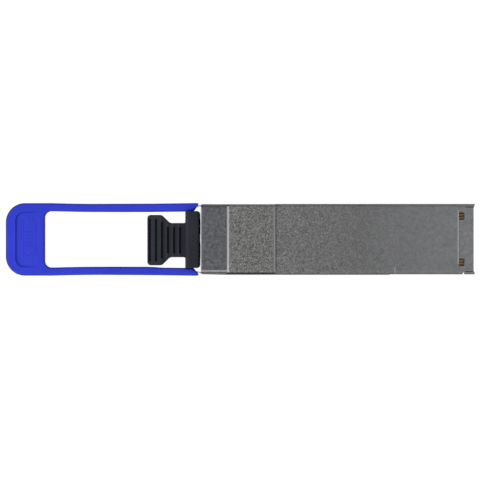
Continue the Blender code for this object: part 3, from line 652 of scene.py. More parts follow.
def plated(name, colour, shade, roughness=0.28):
    """Plated metal: thin scratches along X, and thicker tone in worn spots."""
    f = Finish(name, metallic=1.0)
    wipe = f.noise(2.4, 3.0, stretch=(0.15, 2.2, 1.0))
    spots = f.noise(3.2, 3.0, shift=5.0)
    tint = f.mix(f.remap(spots, 0.42, 0.68), colour, shade)
    polish = f.remap(wipe, 0.3, 0.7, roughness - 0.08, roughness + 0.12)
    return f.finish(tint, polish, f.bump(wipe, 0.006))


def traced_film(name):
    """Flexible film: amber polymer over a row of straight copper tracks."""
    f = Finish(name, specular=0.5)
    tracks = f.bands("Y", 0.62, 0.0)
    dust = f.noise(3.0, 3.0)
    tint = f.mix(f.remap(tracks, 0.45, 0.6), (0.28, 0.11, 0.015), (0.52, 0.25, 0.05))
    tint = f.mix(f.remap(dust, 0.45, 0.7, 0.0, 0.3), tint, (0.2, 0.08, 0.02))
    return f.finish(tint, f.remap(dust, 0.3, 0.7, 0.25, 0.4), f.bump(tracks, 0.02))


STEEL = (0.56, 0.57, 0.58)
PAINTED_HIGHLIGHT_STEEL = (0.64, 0.64, 0.65)
# Painted shade and painted highlight along Y for the zinc parts: dark bands at the gaps along both long
# edges, and a lighter band along the right-hand nose chamfer that reaches over the block and body too.
PAINTED_EDGE_SHADE_AND_HIGHLIGHT = [
    (-9.3, 0.92), (-9.0, 0.78), (-8.85, 1.0), (-8.6, 1.1),
    (-8.2, 1.1), (-8.0, 1.0), (8.38, 1.0),
    (8.55, 0.84), (8.9, 0.76), (9.05, 0.92), (9.3, 0.92),
]
# The lid's own tones along X, with painted highlights on the nose's front edge, the block's front bevel and
# the seam burr, and a painted shadow just behind the rear step.
LID_TONES_AND_PAINTED_LIGHT = [
    (-20.0, (0.92, 0.92, 0.93)), (-19.38, (0.88, 0.88, 0.90)), (-19.2, (0.189, 0.193, 0.208)),
    (-12.5, (0.190, 0.194, 0.209)), (-12.45, 0.43), (-12.0, (0.43, 0.43, 0.42)),
    (-11.95, (0.273, 0.273, 0.265)), (-6.0, (0.269, 0.270, 0.263)), (-0.32, (0.262, 0.262, 0.258)),
    (-0.28, 0.32), (0.0, 0.32), (0.2, (0.259, 0.259, 0.258)),
    (9.0, (0.257, 0.258, 0.259)), (23.0, (0.243, 0.245, 0.247)), (39.0, (0.278, 0.281, 0.287)),
    (47.86, (0.284, 0.288, 0.295)), (47.9, (0.26, 0.262, 0.268)), (48.1, (0.26, 0.262, 0.268)),
    (48.2, (0.306, 0.309, 0.318)), (52.1, (0.306, 0.309, 0.318)),
]
LID_GRAIN = [
    (-20.0, 0.25, 0.6), (-19.2, 0.25, 0.6), (-19.1, 0.78, 0.68), (-12.7, 0.78, 0.68), (-12.6, 0.25, 0.3),
    (-11.95, 0.25, 0.3), (-11.85, 1.46, 0.0), (-0.5, 1.40, 0.0), (-0.4, 0.36, 0.0), (0.0, 0.36, 0.0),
    (0.2, 1.36, 0.12), (10.0, 1.16, 0.16), (24.0, 0.70, 0.2), (36.0, 0.37, 0.4), (47.4, 0.33, 0.55),
    (47.5, 0.03, 0.5), (47.9, 0.03, 0.5), (48.0, 0.44, 0.5), (52.1, 0.44, 0.5),
]
# A brighter zinc for painted highlights: on the nose's right-hand chamfer, the scribed mark and the
# rear-step burr.
PAINTED_HIGHLIGHT_ZONES = [
    (-20.0, (0.31, 0.31, 0.32)), (-12.0, (0.31, 0.31, 0.32)), (-10.0, 0.38), (40.0, 0.38),
    (45.0, (0.50, 0.50, 0.51)), (52.1, (0.50, 0.50, 0.51)),
]
PAINTED_HIGHLIGHT_GRAIN = [(-20.0, 0.35, 0.3), (52.1, 0.35, 0.3)]
TRAY_ZONES = [(-20.0, (0.265, 0.266, 0.271)), (52.1, (0.272, 0.274, 0.280))]
TRAY_GRAIN = [(-20.0, 0.68, 0.35), (52.1, 0.68, 0.35)]

# Painted light and shade along X on the rubber plug.
PLUG_PAINTED_SHADING = [(-34.0, 1.06), (GROOVE_X[2] - 0.3, 1.06)]
for groove in GROOVE_X[2:]:    # painted shading: each rib lighter towards the next groove, as a rounded rib is lit
    PLUG_PAINTED_SHADING += [(groove + 0.1, 0.70), (groove + 0.75, 0.76),
                   (groove + 0.95, 1.08), (groove + 1.2, 1.08)]
# painted shading on the flange: lighter at its left, darkest at its rounded right edge
PLUG_PAINTED_SHADING += [
    (-23.4, 1.12), (-22.7, 1.12), (-22.4, 0.87), (-20.4, 0.79),
    (-19.9, 0.62), (-19.6, 0.50),
]

MATERIALS = {
    "lid": cast_zinc("cast_zinc_lid", LID_TONES_AND_PAINTED_LIGHT, LID_GRAIN),
    "tray": cast_zinc("cast_zinc_tray", TRAY_ZONES, TRAY_GRAIN),
    "painted_highlight": cast_zinc("painted_highlight_zinc", PAINTED_HIGHLIGHT_ZONES, PAINTED_HIGHLIGHT_GRAIN),
    # the arm's front, ahead of its jog, gets a painted highlight
    "arm": drawn_steel("rolled_steel", (0.30, 0.30, 0.307), roughness=0.38, painted_highlight=JOG_X[1] - 0.2),
    "screw": drawn_steel("screw_steel", STEEL, stretch=(2.0, 2.0, 0.4)),
    "turned": drawn_steel("turned_steel", STEEL, stretch=(3.0, 0.3, 0.3), roughness=0.25),
    "spring": drawn_steel("spring_wire", (0.62, 0.62, 0.6), stretch=(1.0, 1.0, 1.0), roughness=0.25),
    "tab": moulded("blue_elastomer", (0.034, 0.054, 0.740), (0.027, 0.046, 0.655), roughness=0.50,
                   specular=0.22, sides=0.33),
    "rubber": moulded("black_rubber", (0.034, 0.037, 0.048), (0.025, 0.028, 0.038), roughness=0.72,
                      grain=6.0, relief=0.02, specular=0.15, worn=(0.044, 0.047, 0.058), sides=0.3,
                      shade=PLUG_PAINTED_SHADING),
    "port": moulded("port_plastic", (0.018, 0.018, 0.02), (0.011, 0.011, 0.013), roughness=0.42),
    "resin": moulded("chip_resin", (0.022, 0.022, 0.024), (0.014, 0.014, 0.016), roughness=0.55,
                     grain=9.0, worn=(0.05, 0.05, 0.052)),
    "absorber": moulded("absorber_rubber", (0.03, 0.03, 0.033), (0.018, 0.018, 0.02), roughness=0.8,
                        grain=3.0, relief=0.03, worn=(0.075, 0.075, 0.08)),
    "gold": plated("gold_plate", (0.78, 0.56, 0.25), (0.60, 0.40, 0.16)),
    "contact": plated("contact_gold", (0.66, 0.45, 0.20), (0.45, 0.29, 0.12), roughness=0.34),
    "terminal": plated("tinned_terminal", (0.70, 0.70, 0.68), (0.52, 0.52, 0.50), roughness=0.35),
    "can": drawn_steel("nickel_can", (0.60, 0.58, 0.54), stretch=(0.2, 2.0, 2.0), roughness=0.28),
    "laminate": laminate("circuit_laminate"),
    "ceramic": sheeted("ferrule_ceramic", (0.80, 0.79, 0.76), (0.70, 0.69, 0.65), 2.0, 0.25, 0.004),
    "dielectric": sheeted("capacitor_ceramic", (0.42, 0.27, 0.15), (0.33, 0.20, 0.11), 4.0, 0.45),
    "pad": sheeted("thermal_pad", (0.36, 0.42, 0.50), (0.48, 0.53, 0.60), 2.2, 0.8, 0.03),
    "label": sheeted("label_foil", (0.62, 0.62, 0.61), (0.55, 0.55, 0.545), 1.6, 0.45, 0.006),
    "film": traced_film("flex_film"),
}


# ---------------------------------------------------------------- housing

def make_lid():
    """The heat-sink lid: bevelled nose, raised block, flat body, lowered rear strip and horns."""
    plan = mirrored([
        (NOSE_FRONT, NOSE_HALF), (BLOCK_FRONT, NOSE_HALF), (BLOCK_FRONT, BLOCK_HALF),
        (0.0, BLOCK_HALF), (0.0, BODY_HALF), (HOUSING_END, BODY_HALF), (HOUSING_END, HORN_INNER),
        (HORN_START, HORN_INNER), (HORN_START, LIP_HALF), (LIP_END, LIP_HALF),
    ])
    groove = SHOULDER_GROOVE
    side = [
        (AHEAD, LID_BOTTOM - BEYOND), (BEHIND, LID_BOTTOM - BEYOND),
        (BEHIND, BODY_TOP), (groove[1] + 0.1, BODY_TOP), (groove[1], BODY_TOP - 0.2),
        (groove[0], BODY_TOP - 0.2), (groove[0], BLOCK_TOP), (BLOCK_FRONT + BLOCK_BEVEL[0], BLOCK_TOP),
        (BLOCK_FRONT, BLOCK_TOP - BLOCK_BEVEL[1]), (BLOCK_FRONT, NOSE_TOP),
        (NOSE_FRONT + NOSE_CHAMFER[0], NOSE_TOP), (NOSE_FRONT, NOSE_TOP - NOSE_CHAMFER[1]),
        (AHEAD, NOSE_TOP - NOSE_CHAMFER[1]),
    ]
    lid = prism(plan, "Z", (LID_BOTTOM, BLOCK_TOP + BEYOND))
    combine(lid, [prism(side, "Y", WIDE)], "INTERSECT")
    wide, high = NOSE_CHAMFER
    inner, outer = about(NOSE_HALF, wide)
    edge = [(inner, NOSE_TOP), (outer, NOSE_TOP - 2 * high), (outer, NOSE_TOP + BEYOND),
            (inner, NOSE_TOP + BEYOND)]
    chamfers = [prism([(y * sign, z) for y, z in edge], "X", (AHEAD, BLOCK_FRONT))
                for sign in SIDES.values()]
    strip = slab((REAR_STEP, BEHIND), about(0.0, STRIP_HALF), (STRIP_TOP, BODY_TOP + BEYOND))
    combine(lid, chamfers + [strip])
    ledge = slab((LEDGE_START, -0.05), (BLOCK_HALF - BEYOND, LEDGE_HALF), (LID_BOTTOM, LEDGE_TOP))
    filler = slab((HORN_START - LAP, LIP_END - 0.05), (LIP_HALF - LAP, HORN_INNER - 0.08),
                  (LIP_BOTTOM, STRIP_TOP))
    combine(lid, [ledge, filler], "UNION")
    rebate = slab((LEDGE_START, SHOULDER_GROOVE[1]), (BLOCK_HALF - 0.2, BODY_HALF + BEYOND),
                  (LEDGE_TOP, BLOCK_TOP + BEYOND))
    combine(lid, [rebate])
    soften(lid, LID_EDGE, 2, angle=20)
    halls = [
        ((AHEAD, POCKET_END), POCKET_HALF, ROOF),
        ((POCKET_END - LAP, OPTICS_END + LAP), OPTICS_HALF, ROOF),
        ((OPTICS_END, HALL_END), HALL_HALF, ROOF),
        ((HALL_END - LAP, BEHIND), (LIP_HALF + HORN_INNER) / 2, LIP_BOTTOM),
    ]
    tools = [slab(x, about(0.0, half), (LID_BOTTOM - BEYOND, roof)) for x, half, roof in halls]
    tools += [window_cutter(sign) for sign in SIDES.values()]
    tools.append(slab(SLIT_X, SLIT_Y, (0.0, BODY_TOP + BEYOND)))
    combine(lid, tools)
    marks = [
        burr((-0.27, -0.08, 0.04), BLOCK_TOP, about(0.0, BLOCK_HALF - 0.3), 0.045),
        burr((REAR_STEP - 0.24, REAR_STEP - 0.05, REAR_STEP + 0.03), BODY_TOP, (-6.4, 7.6), 0.08),
        scribed_mark(),
    ]
    combine(lid, marks, "UNION")
    settle(lid, "heat_sink_lid", "lid", ["top_shell"])
    lid.data.materials.append(MATERIALS["painted_highlight"])
    # painted highlight: the raised marks behind the block and the nose's right-hand chamfer take the
    # brighter zinc
    for face in lid.data.polygons:
        x, _, z = face.center / MM
        raised = x > 1.0 and z > BODY_TOP + 0.01
        chamfer = x < BLOCK_FRONT and z > NOSE_TOP - 0.6 and face.normal.y < -0.25 and face.normal.z > 0.25
        face.material_index = int(raised or chamfer)


def window_cutter(sign):
    """A window's rounded opening, with a small chamfer where it meets the top."""
    chamfer, corner = 0.1, 0.16
    rings = [(LIP_BOTTOM - BEYOND, 0.0), (STRIP_TOP - chamfer, 0.0), (STRIP_TOP, chamfer),
             (STRIP_TOP + BEYOND, chamfer)]
    y = both(*WINDOW_Y, sign)
    return stack([(z, rounded(wider(WINDOW_X, grow), wider(y, grow), corner + grow, 3))
                  for z, grow in rings])


def burr(x, top, y, height):
    """The low raised line that a milling pass leaves: x is where it starts, peaks and drops to its edge."""
    start, crest, edge = x
    outline = [
        (start, top - LAP), (start, top), (crest - 0.02, top + height), (crest, top + height),
        (edge - 0.04, top), (edge - 0.04, top - LAP),
    ]
    return prism(outline, "Y", y)


def scribed_mark():
    """A short raised line with a hook, over the tip of the right-hand latch arm."""
    radius, sunk = 0.12, 0.04
    path = [(31.26, -8.95), (31.26, -7.45), (31.36, -7.2), (31.6, -6.95), (31.9, -6.78), (32.3, -6.68)]
    return sweep([Vector((x, y, BODY_TOP - sunk)) for x, y in path], radius)


def make_tray():
    """The tray: floor, side walls with latch channels, spring bays, and an open rear."""
    front, rear = 0.5, 0.4
    plan = mirrored([
        (NOSE_FRONT, BODY_HALF - front), (NOSE_FRONT + front, BODY_HALF), (HOUSING_END, BODY_HALF),
    ])
    side = [
        (NOSE_FRONT, front), (NOSE_FRONT + front, 0.0), (HOUSING_END - rear, 0.0), (HOUSING_END, rear),
        (HOUSING_END, PARTING), (NOSE_FRONT, PARTING),
    ]
    above = PARTING + BEYOND
    tray = prism(plan, "Z", (-BEYOND, above))
    combine(tray, [prism(side, "Y", WIDE)], "INTERSECT")
    channels = ((CHANNEL_END, CHANNEL_Z), (0.0, (CHANNEL_Z[1] - LAP, above)))
    combine(tray, [slab((AHEAD, end), both(CHANNEL_FLOOR_Y, BODY_HALF + BEYOND, sign), z)
                   for sign in SIDES.values() for end, z in channels])
    soften(tray, EDGE, 2)
    halls = [
        ((AHEAD, POCKET_END), POCKET_HALF, POCKET_FLOOR),
        ((POCKET_END - LAP, OPTICS_END + LAP), OPTICS_HALF, FLOOR),
        ((OPTICS_END, REAR_OPENING - BEYOND), HALL_HALF, FLOOR),
        ((REAR_OPENING - BEYOND - LAP, REAR_OPENING + LAP), REAR_WALL_INNER, FLOOR),
        ((REAR_OPENING, BEHIND), REAR_WALL_INNER, -BEYOND),
    ]
    combine(tray, [slab(x, about(0.0, half), (floor, above)) for x, half, floor in halls])
    rib_z = (FLOOR - LAP, CARD_LOW.z - 0.3)
    combine(tray, [slab(x, about(0.0, HALL_HALF + LAP), rib_z) for x in RIBS], "UNION")
    tools = []
    for sign in SIDES.values():
        bay_y = both(SPRING_Y - SPRING_ROOM, CHANNEL_FLOOR_Y + LAP, sign)
        tools.append(slab(SPRING_BAY, bay_y, about(SPRING_Z, SPRING_ROOM)))
    tools.append(prism(rounded(*LABEL_RECESS), "Z", (-BEYOND, 0.3)))
    tools.append(slab((SLIT_X[0], SLIT_X[1] + 0.6), SLIT_Y, (-BEYOND, above)))
    combine(tray, tools)
    rim, wall, depth = SEAT
    for node in SCREWS:
        x, y = middle(node)
        boss_y = both(abs(y) - BOSS_HALF, abs(y) + BOSS_HALF - 0.1, math.copysign(1.0, y))
        combine(tray, [slab(about(x, BOSS_HALF), boss_y, (FLOOR - LAP, PARTING - 0.02))], "UNION")
        seat = [(0.0, -BEYOND), (rim, -BEYOND), (rim, 0.02), (wall, 0.22), (wall, depth), (0.7, depth),
                (0.7, above), (0.0, above)]
        combine(tray, [turned(seat, "Z", (x, y), 28)])
    settle(tray, "housing_tray", "tray", ["bottom_shell"])


def make_screws():
    """Small countersunk-style machine screws, with a six-lobed socket in a crowned head."""
    shank, root, pitch, socket = 0.6, 0.5, 0.35, 0.42
    for node in SCREWS:
        (left, right), _, (bottom, top) = spans(node)
        x, y = middle(node)
        head = (right - left) / 2
        profile = [(0.0, bottom)]
        profile += [(head * share, bottom + 0.10 * share ** 2.5) for share in (0.3, 0.55, 0.75, 0.9, 0.98)]
        profile += [(head, bottom + 0.2), (head, 1.0), (shank, 1.02)]
        profile += thread(shank, root, 1.3, top - 0.2, pitch)
        profile += [(0.35, top), (0.0, top)]
        screw = turned(profile, "Z", (x, y))
        lobes = []
        for angle in circle(36):
            radius = 0.5 + 0.075 * math.cos(6 * angle)
            lobes.append((x + radius * math.cos(angle), y + radius * math.sin(angle)))
        combine(screw, [prism(lobes, "Z", (bottom - BEYOND, bottom + socket))])
        settle(screw, node.replace("shell_screw", "torx_screw"), "screw", [node])


def thread(crest, root, start, end, pitch):
    """A profile of thread ridges between two heights."""
    points = [(crest, start)]
    for turn in range(int((end - start) / pitch)):
        z = start + pitch * turn
        points += [(crest, z + 0.35 * pitch), (root, z + 0.6 * pitch), (crest, z + pitch)]
    return points


def make_label():
    """A blank foil label with round corners and slightly lifted edges, and a shallow frame in it."""
    x, y, (bottom, top) = spans("bottom_label")
    thin, margin, line = 0.03, 0.5, 0.2
    label = stack([(z, rounded(wider(x, -inset), wider(y, -inset), 0.7, 5))
                   for z, inset in ((top, 0.0), (bottom + thin, 0.0), (bottom, thin))])
    x, y = wider(x, -margin), wider(y, -margin)
    deep = (bottom - BEYOND, bottom + 0.02)
    border = prism(rounded(x, y, 0.5), "Z", deep)
    combine(border, [prism(rounded(wider(x, -line), wider(y, -line), 0.3), "Z", wider(deep, LAP))])
    combine(label, [border])
    settle(label, "blank_label", "label", ["bottom_label"])


# ---------------------------------------------------------------- ports and optics

def make_ports():
    """The duplex receptacle: two square ports with key slots, lead-ins and a web between them."""
    x, y, z = spans("lc_receptacle")
    mouth, inner = x[0] - BEYOND, PORT_END - 0.6
    key_half, key_top, key_corner = 1.7, 6.75, 0.3
    block = soften(slab(x, y, z), 0.15, 2)
    tools = []
    for sign in SIDES.values():
        y = PORT_Y * sign
        rings = []
        for place, grow in ((mouth, 0.3), (x[0], 0.3), (x[0] + 0.45, 0.0), (PORT_END, 0.0)):
            rings.append((place, rounded(wider(about(y, PORT_HALF), grow),
                                         about(PORT_Z, PORT_HEIGHT_HALF + grow * 0.6), 0.2, 3)))
        tools.append(stack(rings, "X"))
        near, far = about(y, key_half)
        tools.append(prism([
            (near, PORT_Z), (far, PORT_Z), (far, key_top - key_corner), (far - key_corner, key_top),
            (near + key_corner, key_top), (near, key_top - key_corner),
        ], "X", (mouth, -13.0)))
        tools.append(slab((-16.6, -14.8), about(y, 1.2), (6.0, 7.0)))
        bore = [(0.0, inner), (1.75, inner), (1.75, -10.3), (1.6, -10.1), (1.6, -8.0), (0.0, -8.0)]
        tools.append(turned(bore, "X", (0.0, y, PORT_Z)))
    combine(block, tools)
    settle(block, "duplex_receptacle", "port", ["lc_receptacle"])


def stepped(node, edge, crown=0.0, lift=0.0, shoulder=0.0):
    """A small moulded or stamped block in a CAD node's box, with round edges and a stepped top."""
    x, y, (low, high) = spans(node)
    radius = max(min(edge * 2, (x[1] - x[0]) / 4, (y[1] - y[0]) / 4), 0.02)
    heights = [(low, edge * 0.6), (low + edge * 0.6, 0.0)]
    if shoulder:
        waist = low + (high - low) * shoulder
        heights += [(waist, 0.0), (waist + 0.02, lift)]
    heights += [(high - edge, lift), (high - edge * 0.3, lift + edge * 0.3), (high, lift + edge + crown)]
    return stack([(z, rounded(wider(x, -inset), wider(y, -inset), radius, 4)) for z, inset in heights])


def make_small_parts():
    """Chips, pads, coil, crystal and capacitors on the card."""
    for node in ("transmit_driver", "receive_amplifier", "microcontroller"):
        low, high = limits(node)
        chip = stepped(node, 0.08)
        dimple = [(0.0, high.z - 0.05), (0.16, high.z - 0.05), (0.22, high.z + 0.1), (0.0, high.z + 0.1)]
        combine(chip, [turned(dimple, "Z", (low.x + 0.6, low.y + 0.6), 20)])
        settle(chip, node + "_package", "resin", [node])
        leads(node, 9)
    for node in ("tosa_thermal_pad", "rosa_thermal_pad", "transmit_thermal_pad", "receive_thermal_pad"):
        pad = stepped(node, 0.12, crown=0.15)
        settle(pad, node + "_cushion", "pad", [node])
    coil = stepped("power_inductor", 0.12, lift=0.08, shoulder=0.25)
    settle(coil, "moulded_inductor", "resin", ["power_inductor"])
    crystal = stepped("clock_crystal", 0.1, lift=0.18, shoulder=0.3)
    settle(crystal, "crystal_can", "can", ["clock_crystal"])
    for index in range(4):
        capacitor("capacitor_" + str(index + 1))
    absorber = stepped("absorber_sheet", 0.1)
    settle(absorber, "absorber_pad", "absorber", ["absorber_sheet"])


def capacitor(node):
    """A ceramic chip capacitor and its two tinned ends."""
    x, y, z = [wider(span, 0.02) for span in spans(node)]
    settle(stepped(node, 0.06), node + "_body", "dielectric", [node])
    ends = [soften(slab(x, span, z), 0.07, 2) for span in ((y[0], y[0] + 0.34), (y[1] - 0.34, y[1]))]
    settle(join(ends), node + "_terminals", "terminal")


def leads(node, count):
    """Short tinned leads along the two long sides of a chip, down to the card."""
    x, y, _ = spans(node)
    margin, half, foot = 0.4, 0.1, 0.22
    pitch = (x[1] - x[0] - 2 * margin) / (count - 1)
    z = (CARD_HIGH.z + 0.01, CARD_HIGH.z + foot)
    parts = []
    for sign, edge in ((1.0, y[1]), (-1.0, y[0])):
        reach = both(edge * sign - 0.05, edge * sign + foot, sign)
        parts += [slab(about(x[0] + margin + pitch * index, half), reach, z) for index in range(count)]
    settle(soften(join(parts), 0.03, 1), node + "_leads", "terminal")


def make_card():
    """The circuit card with rounded corners, and its two rows of gold edge contacts."""
    bevel = 0.4
    outline = mirrored([
        (CARD_LOW.x, CARD_WAIST), (CARD_NOTCH[0], CARD_WAIST), (CARD_NOTCH[0], CARD_NOTCH_Y),
        (CARD_NOTCH[1], CARD_NOTCH_Y), (CARD_NOTCH[1], CARD_WAIST), (CARD_TONGUE, CARD_WAIST),
        (CARD_TONGUE, CARD_HIGH.y), (CARD_HIGH.x - bevel, CARD_HIGH.y), (CARD_HIGH.x, CARD_HIGH.y - bevel),
    ])
    card = prism(outline, "Z", (CARD_LOW.z, CARD_HIGH.z))
    soften(card, 0.09, 2, angle=50)
    settle(card, "circuit_card", "laminate", ["main_board"])
    faces = ((CARD_HIGH.z - LAP, CARD_HIGH.z + CONTACT_RISE), (CARD_LOW.z - CONTACT_RISE, CARD_LOW.z + LAP))
    pads = []
    for index in range(CONTACTS):
        y = CONTACT_PITCH * (index - (CONTACTS - 1) / 2)
        outline = rounded((CONTACT_START[index % 3], CARD_HIGH.x - 0.3), about(y, CONTACT_HALF), 0.08, 2)
        pads += [prism(outline, "Z", z) for z in faces]
    settle(join(pads), "edge_contacts", "contact")


# ---------------------------------------------------------------- latch and tab

def make_arm(name, sign):
    """A folded steel arm: a tang inside the tab, a jog, a long sheet with lips, a lug and a tip."""
    front, outer = ARM_OUTER[name]
    inner = outer - SHEET
    outline = [
        (TANG_END, TANG_Y[1]), (JOG_X[0] - 0.1, TANG_Y[1]), (JOG_X[1], front), (BLOCK_FRONT, outer),
        (ARM_TIP - 1.2, outer), (ARM_TIP, TIP_Y[1]), (ARM_TIP, TIP_Y[0]), (ARM_TIP - 1.25, inner),
        (BLOCK_FRONT, inner), (JOG_X[1] + 0.1, front - SHEET), (JOG_X[0], TANG_Y[0]), (TANG_END, TANG_Y[0]),
    ]
    arm = prism([(x, y * sign) for x, y in outline], "Z", (ARM_LOW.z - BEYOND, ARM_HIGH.z + BEYOND))
    low, high = ARM_LOW.z, ARM_HIGH.z
    side = [
        (TANG_END - BEYOND, TANG_Z[0]), (FLARE_X[0], TANG_Z[0]), (FLARE_X[1], low), (ARM_TIP - 0.5, low),
        (ARM_TIP + 0.01, low + 0.5), (ARM_TIP + 0.01, high - 0.5), (ARM_TIP - 0.5, high),
        (FLARE_X[1], high), (FLARE_X[0], TANG_Z[1]), (TANG_END - BEYOND, TANG_Z[1]),
    ]
    combine(arm, [prism(side, "Y", WIDE)], "INTERSECT")
    lips = [slab((JOG_X[1] + 0.1, BLOCK_FRONT - 0.1), both(LIP_INNER, min(front, outer) - LAP, sign), z)
            for z in ((high - SHEET, high), (low, low + SHEET))]
    lug = slab(LUG_X, both(SPRING_Y - LUG_HALF, inner + LAP, sign), about(SPRING_Z, LUG_HALF))
    combine(arm, lips + [lug], "UNION")
    combine(arm, [prism(rounded(span, about(SPRING_Z, 0.45), 0.44, 5), "Y", both(8.7, 9.6, sign))
                  for span in ARM_SLOTS])
    soften(arm, 0.06, 2)
    settle(arm, "latch_sheet_" + name, "arm", ["latch_arm_" + name], body="latch")


def make_spring(name, sign):
    """A return spring with closed ends, of the kind that shortens as the latch slides."""
    low, high = limits("return_spring_" + name)
    wire, turns, steps, gap, travel = 0.12, 9, 20, 0.005, 2.5
    coil = (high.z - low.z) / 2 - wire
    start, end = low.x + wire + gap, high.x - wire - gap
    path = []
    for index in range(turns * steps + 1):
        angle = 2 * math.pi * index / steps
        share = index / (turns * steps)
        share += 0.016 * math.sin(4 * math.pi * share)
        path.append(Vector((start + (end - start) * share, SPRING_Y * sign + coil * math.cos(angle),
                            SPRING_Z + coil * math.sin(angle))))
    spring = sweep(path, wire)
    settle(spring, "coil_spring_" + name, "spring", ["return_spring_" + name], crease=60)
    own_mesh(spring)


def tab_half(x):
    """Half width of the tab: widest at the grip and at the tips, drawn in a little between."""
    if x < TAB_WAIST_X:
        share = min(1.0, (TAB_WAIST_X - x) / (TAB_WAIST_X - TAB_GRIP_X))
        return TAB_WAIST_HALF + (TAB_GRIP_HALF - TAB_WAIST_HALF) * share ** 2
    share = (x - TAB_WAIST_X) / (TAB_TIP_OUTER - TAB_WAIST_X)
    return TAB_WAIST_HALF + (TAB_TIP_HALF - TAB_WAIST_HALF) * share ** 2


def tab_inner(x):
    """Half width of the tab's window, which leaves an arm that thickens towards its tip."""
    share = max(0.0, (x - TAB_WAIST_X) / (TAB_TIP_OUTER - TAB_WAIST_X))
    return tab_half(x) - TAB_ARM - (TAB_TIP - TAB_ARM) * share


def tab_outline(inset):
    """The loop's outline drawn in by an inset: an open C whose arms end in slanted, rounded tips."""
    stations = [TAB_WAIST_X + (TAB_TIP_INNER - TAB_WAIST_X) * step / 12 for step in range(-6, 12)]
    corner = (TAB_END + TAB_CORNER, TAB_GRIP_HALF - TAB_CORNER)
    window = (TAB_WINDOW + TAB_WINDOW_CORNER, tab_inner(TAB_WINDOW) - TAB_WINDOW_CORNER)
    half = arc(window, TAB_WINDOW_CORNER + inset, 180, 90, 10)
    half += [(x, tab_inner(x) + inset) for x in stations]
    blunt = 0.35
    half += [
        (TAB_TIP_INNER - blunt - inset, tab_inner(TAB_TIP_INNER) + inset),
        (TAB_TIP_INNER - inset, tab_inner(TAB_TIP_INNER) + 0.18 + inset),
        (TAB_TIP_OUTER - 0.12 - 1.3 * inset, TAB_TIP_HALF - 0.55 - inset),
        (TAB_TIP_OUTER - 0.02 - 1.3 * inset, TAB_TIP_HALF - 0.14 - inset),
        (TAB_TIP_OUTER - 0.60 - 1.3 * inset, tab_half(TAB_TIP_OUTER - 0.6) - inset),
    ]
    half += [(x, tab_half(x) - inset) for x in reversed(stations)]
    half += arc(corner, TAB_CORNER - inset, 90, 180, 20)
    loop = list(reversed(half))
    for x, y in half:
        thinner = TAB_THINNER * min(1.0, max(0.0, (x + 32.5) / 3.0)) if y < TAB_ARM_MIDDLE else 0.0
        loop.append((x, -y - thinner))
    return [(x, y + TAB_SHIFT) for x, y in loop]


def make_tab():
    """The moulded loop, with a sunk grip on both faces and plain raised bars in place of letters."""
    steps, clear = 5, 0.12
    angles = [math.pi / 2 * step / steps for step in range(steps + 1)]
    levels = sorted((TAB_LOW.z + TAB_ROUND * (1 - math.sin(angle)), TAB_ROUND * (1 - math.cos(angle)))
                    for angle in angles)
    levels += [(TAB_LOW.z + TAB_HIGH.z - z, inset) for z, inset in reversed(levels)]
    tab = stack([(z, tab_outline(inset)) for z, inset in levels])
    faces = ((TAB_HIGH.z, 1.0), (TAB_LOW.z, -1.0))
    combine(tab, [recess_cutter(face, rise) for face, rise in faces])
    soften(tab, 0.14, 3, angle=60)
    combine(tab, [bar for face, rise in faces for bar in grip_bars(face, rise)], "UNION")
    combine(tab, [slab((TANG_END - clear, TAB_TIP_OUTER + BEYOND), both(*wider(TANG_Y, 0.1), sign),
                       wider(TANG_Z, clear)) for sign in SIDES.values()])
    settle(tab, "pull_loop", "tab", ["pull_tab"], body="latch")


def recess_depth(x):
    """Depth of the grip's sunk floor, which rises to the face at the window."""
    start, end = TAB_RECESS
    return TAB_RECESS_DEPTH * (end - x) / (end - start)


def recess_cutter(face, rise):
    """The sunk grip's rounded outline, sheared so that its floor slopes up to the window."""
    x, y = (TAB_RECESS[0], TAB_RECESS[1] + BEYOND), TAB_RECESS_Y
    wall = TAB_RECESS_WALL
    outline = rounded(x, y, TAB_RECESS_CORNER, 8)
    inner = rounded((x[0] + wall, x[1]), wider(y, -wall), TAB_RECESS_CORNER - wall, 8)
    shares = [min(1.0, max(0.05, recess_depth(a) / TAB_RECESS_DEPTH)) for a, _ in inner]
    inner = [(a, rim + (b - rim) * share) for (a, b), (_, rim), share in zip(inner, outline, shares)]
    return skin([
        [(a, b, face - rise * recess_depth(a)) for a, b in inner],
        [(a, b, face + rise * 0.05) for a, b in outline],
        [(a, b, face + rise * BEYOND) for a, b in outline],
    ])


def bar(x, y, radius, face, rise):
    """A low pad with round corners and a softened top, which follows the grip's sloping floor."""
    loops = []
    for height, inset in ((-0.3, 0.0), (BAR_RISE * 0.4, 0.0), (BAR_RISE, 0.05)):
        corner = max(radius - inset, 0.03)
        loops.append([(a, b, face - rise * (recess_depth(a) - height))
                      for a, b in rounded(wider(x, -inset), wider(y, -inset), corner, 4)])
    return skin(loops)


def grip_bars(face, rise):
    """A low rounded frame with five short bars in it, moulded on the sunk floor."""
    x, y = (TAB_RECESS[0] + 1.6, TAB_RECESS[0] + 5.4), (-4.8, 5.7)
    band = 0.45
    frame_bar = bar(x, y, 1.8, face, rise)
    hollow = prism(rounded(wider(x, -band), wider(y, -band), 1.35), "Z",
                   tuple(sorted((face - 2 * rise, face + rise))))
    combine(frame_bar, [hollow])
    rows = [0.9 * (index - 2) - 0.1 for index in range(5)]
    return [frame_bar] + [bar(wider(x, -0.9), about(row, 0.22), 0.2, face, rise) for row in rows]


# ---------------------------------------------------------------- dust plug

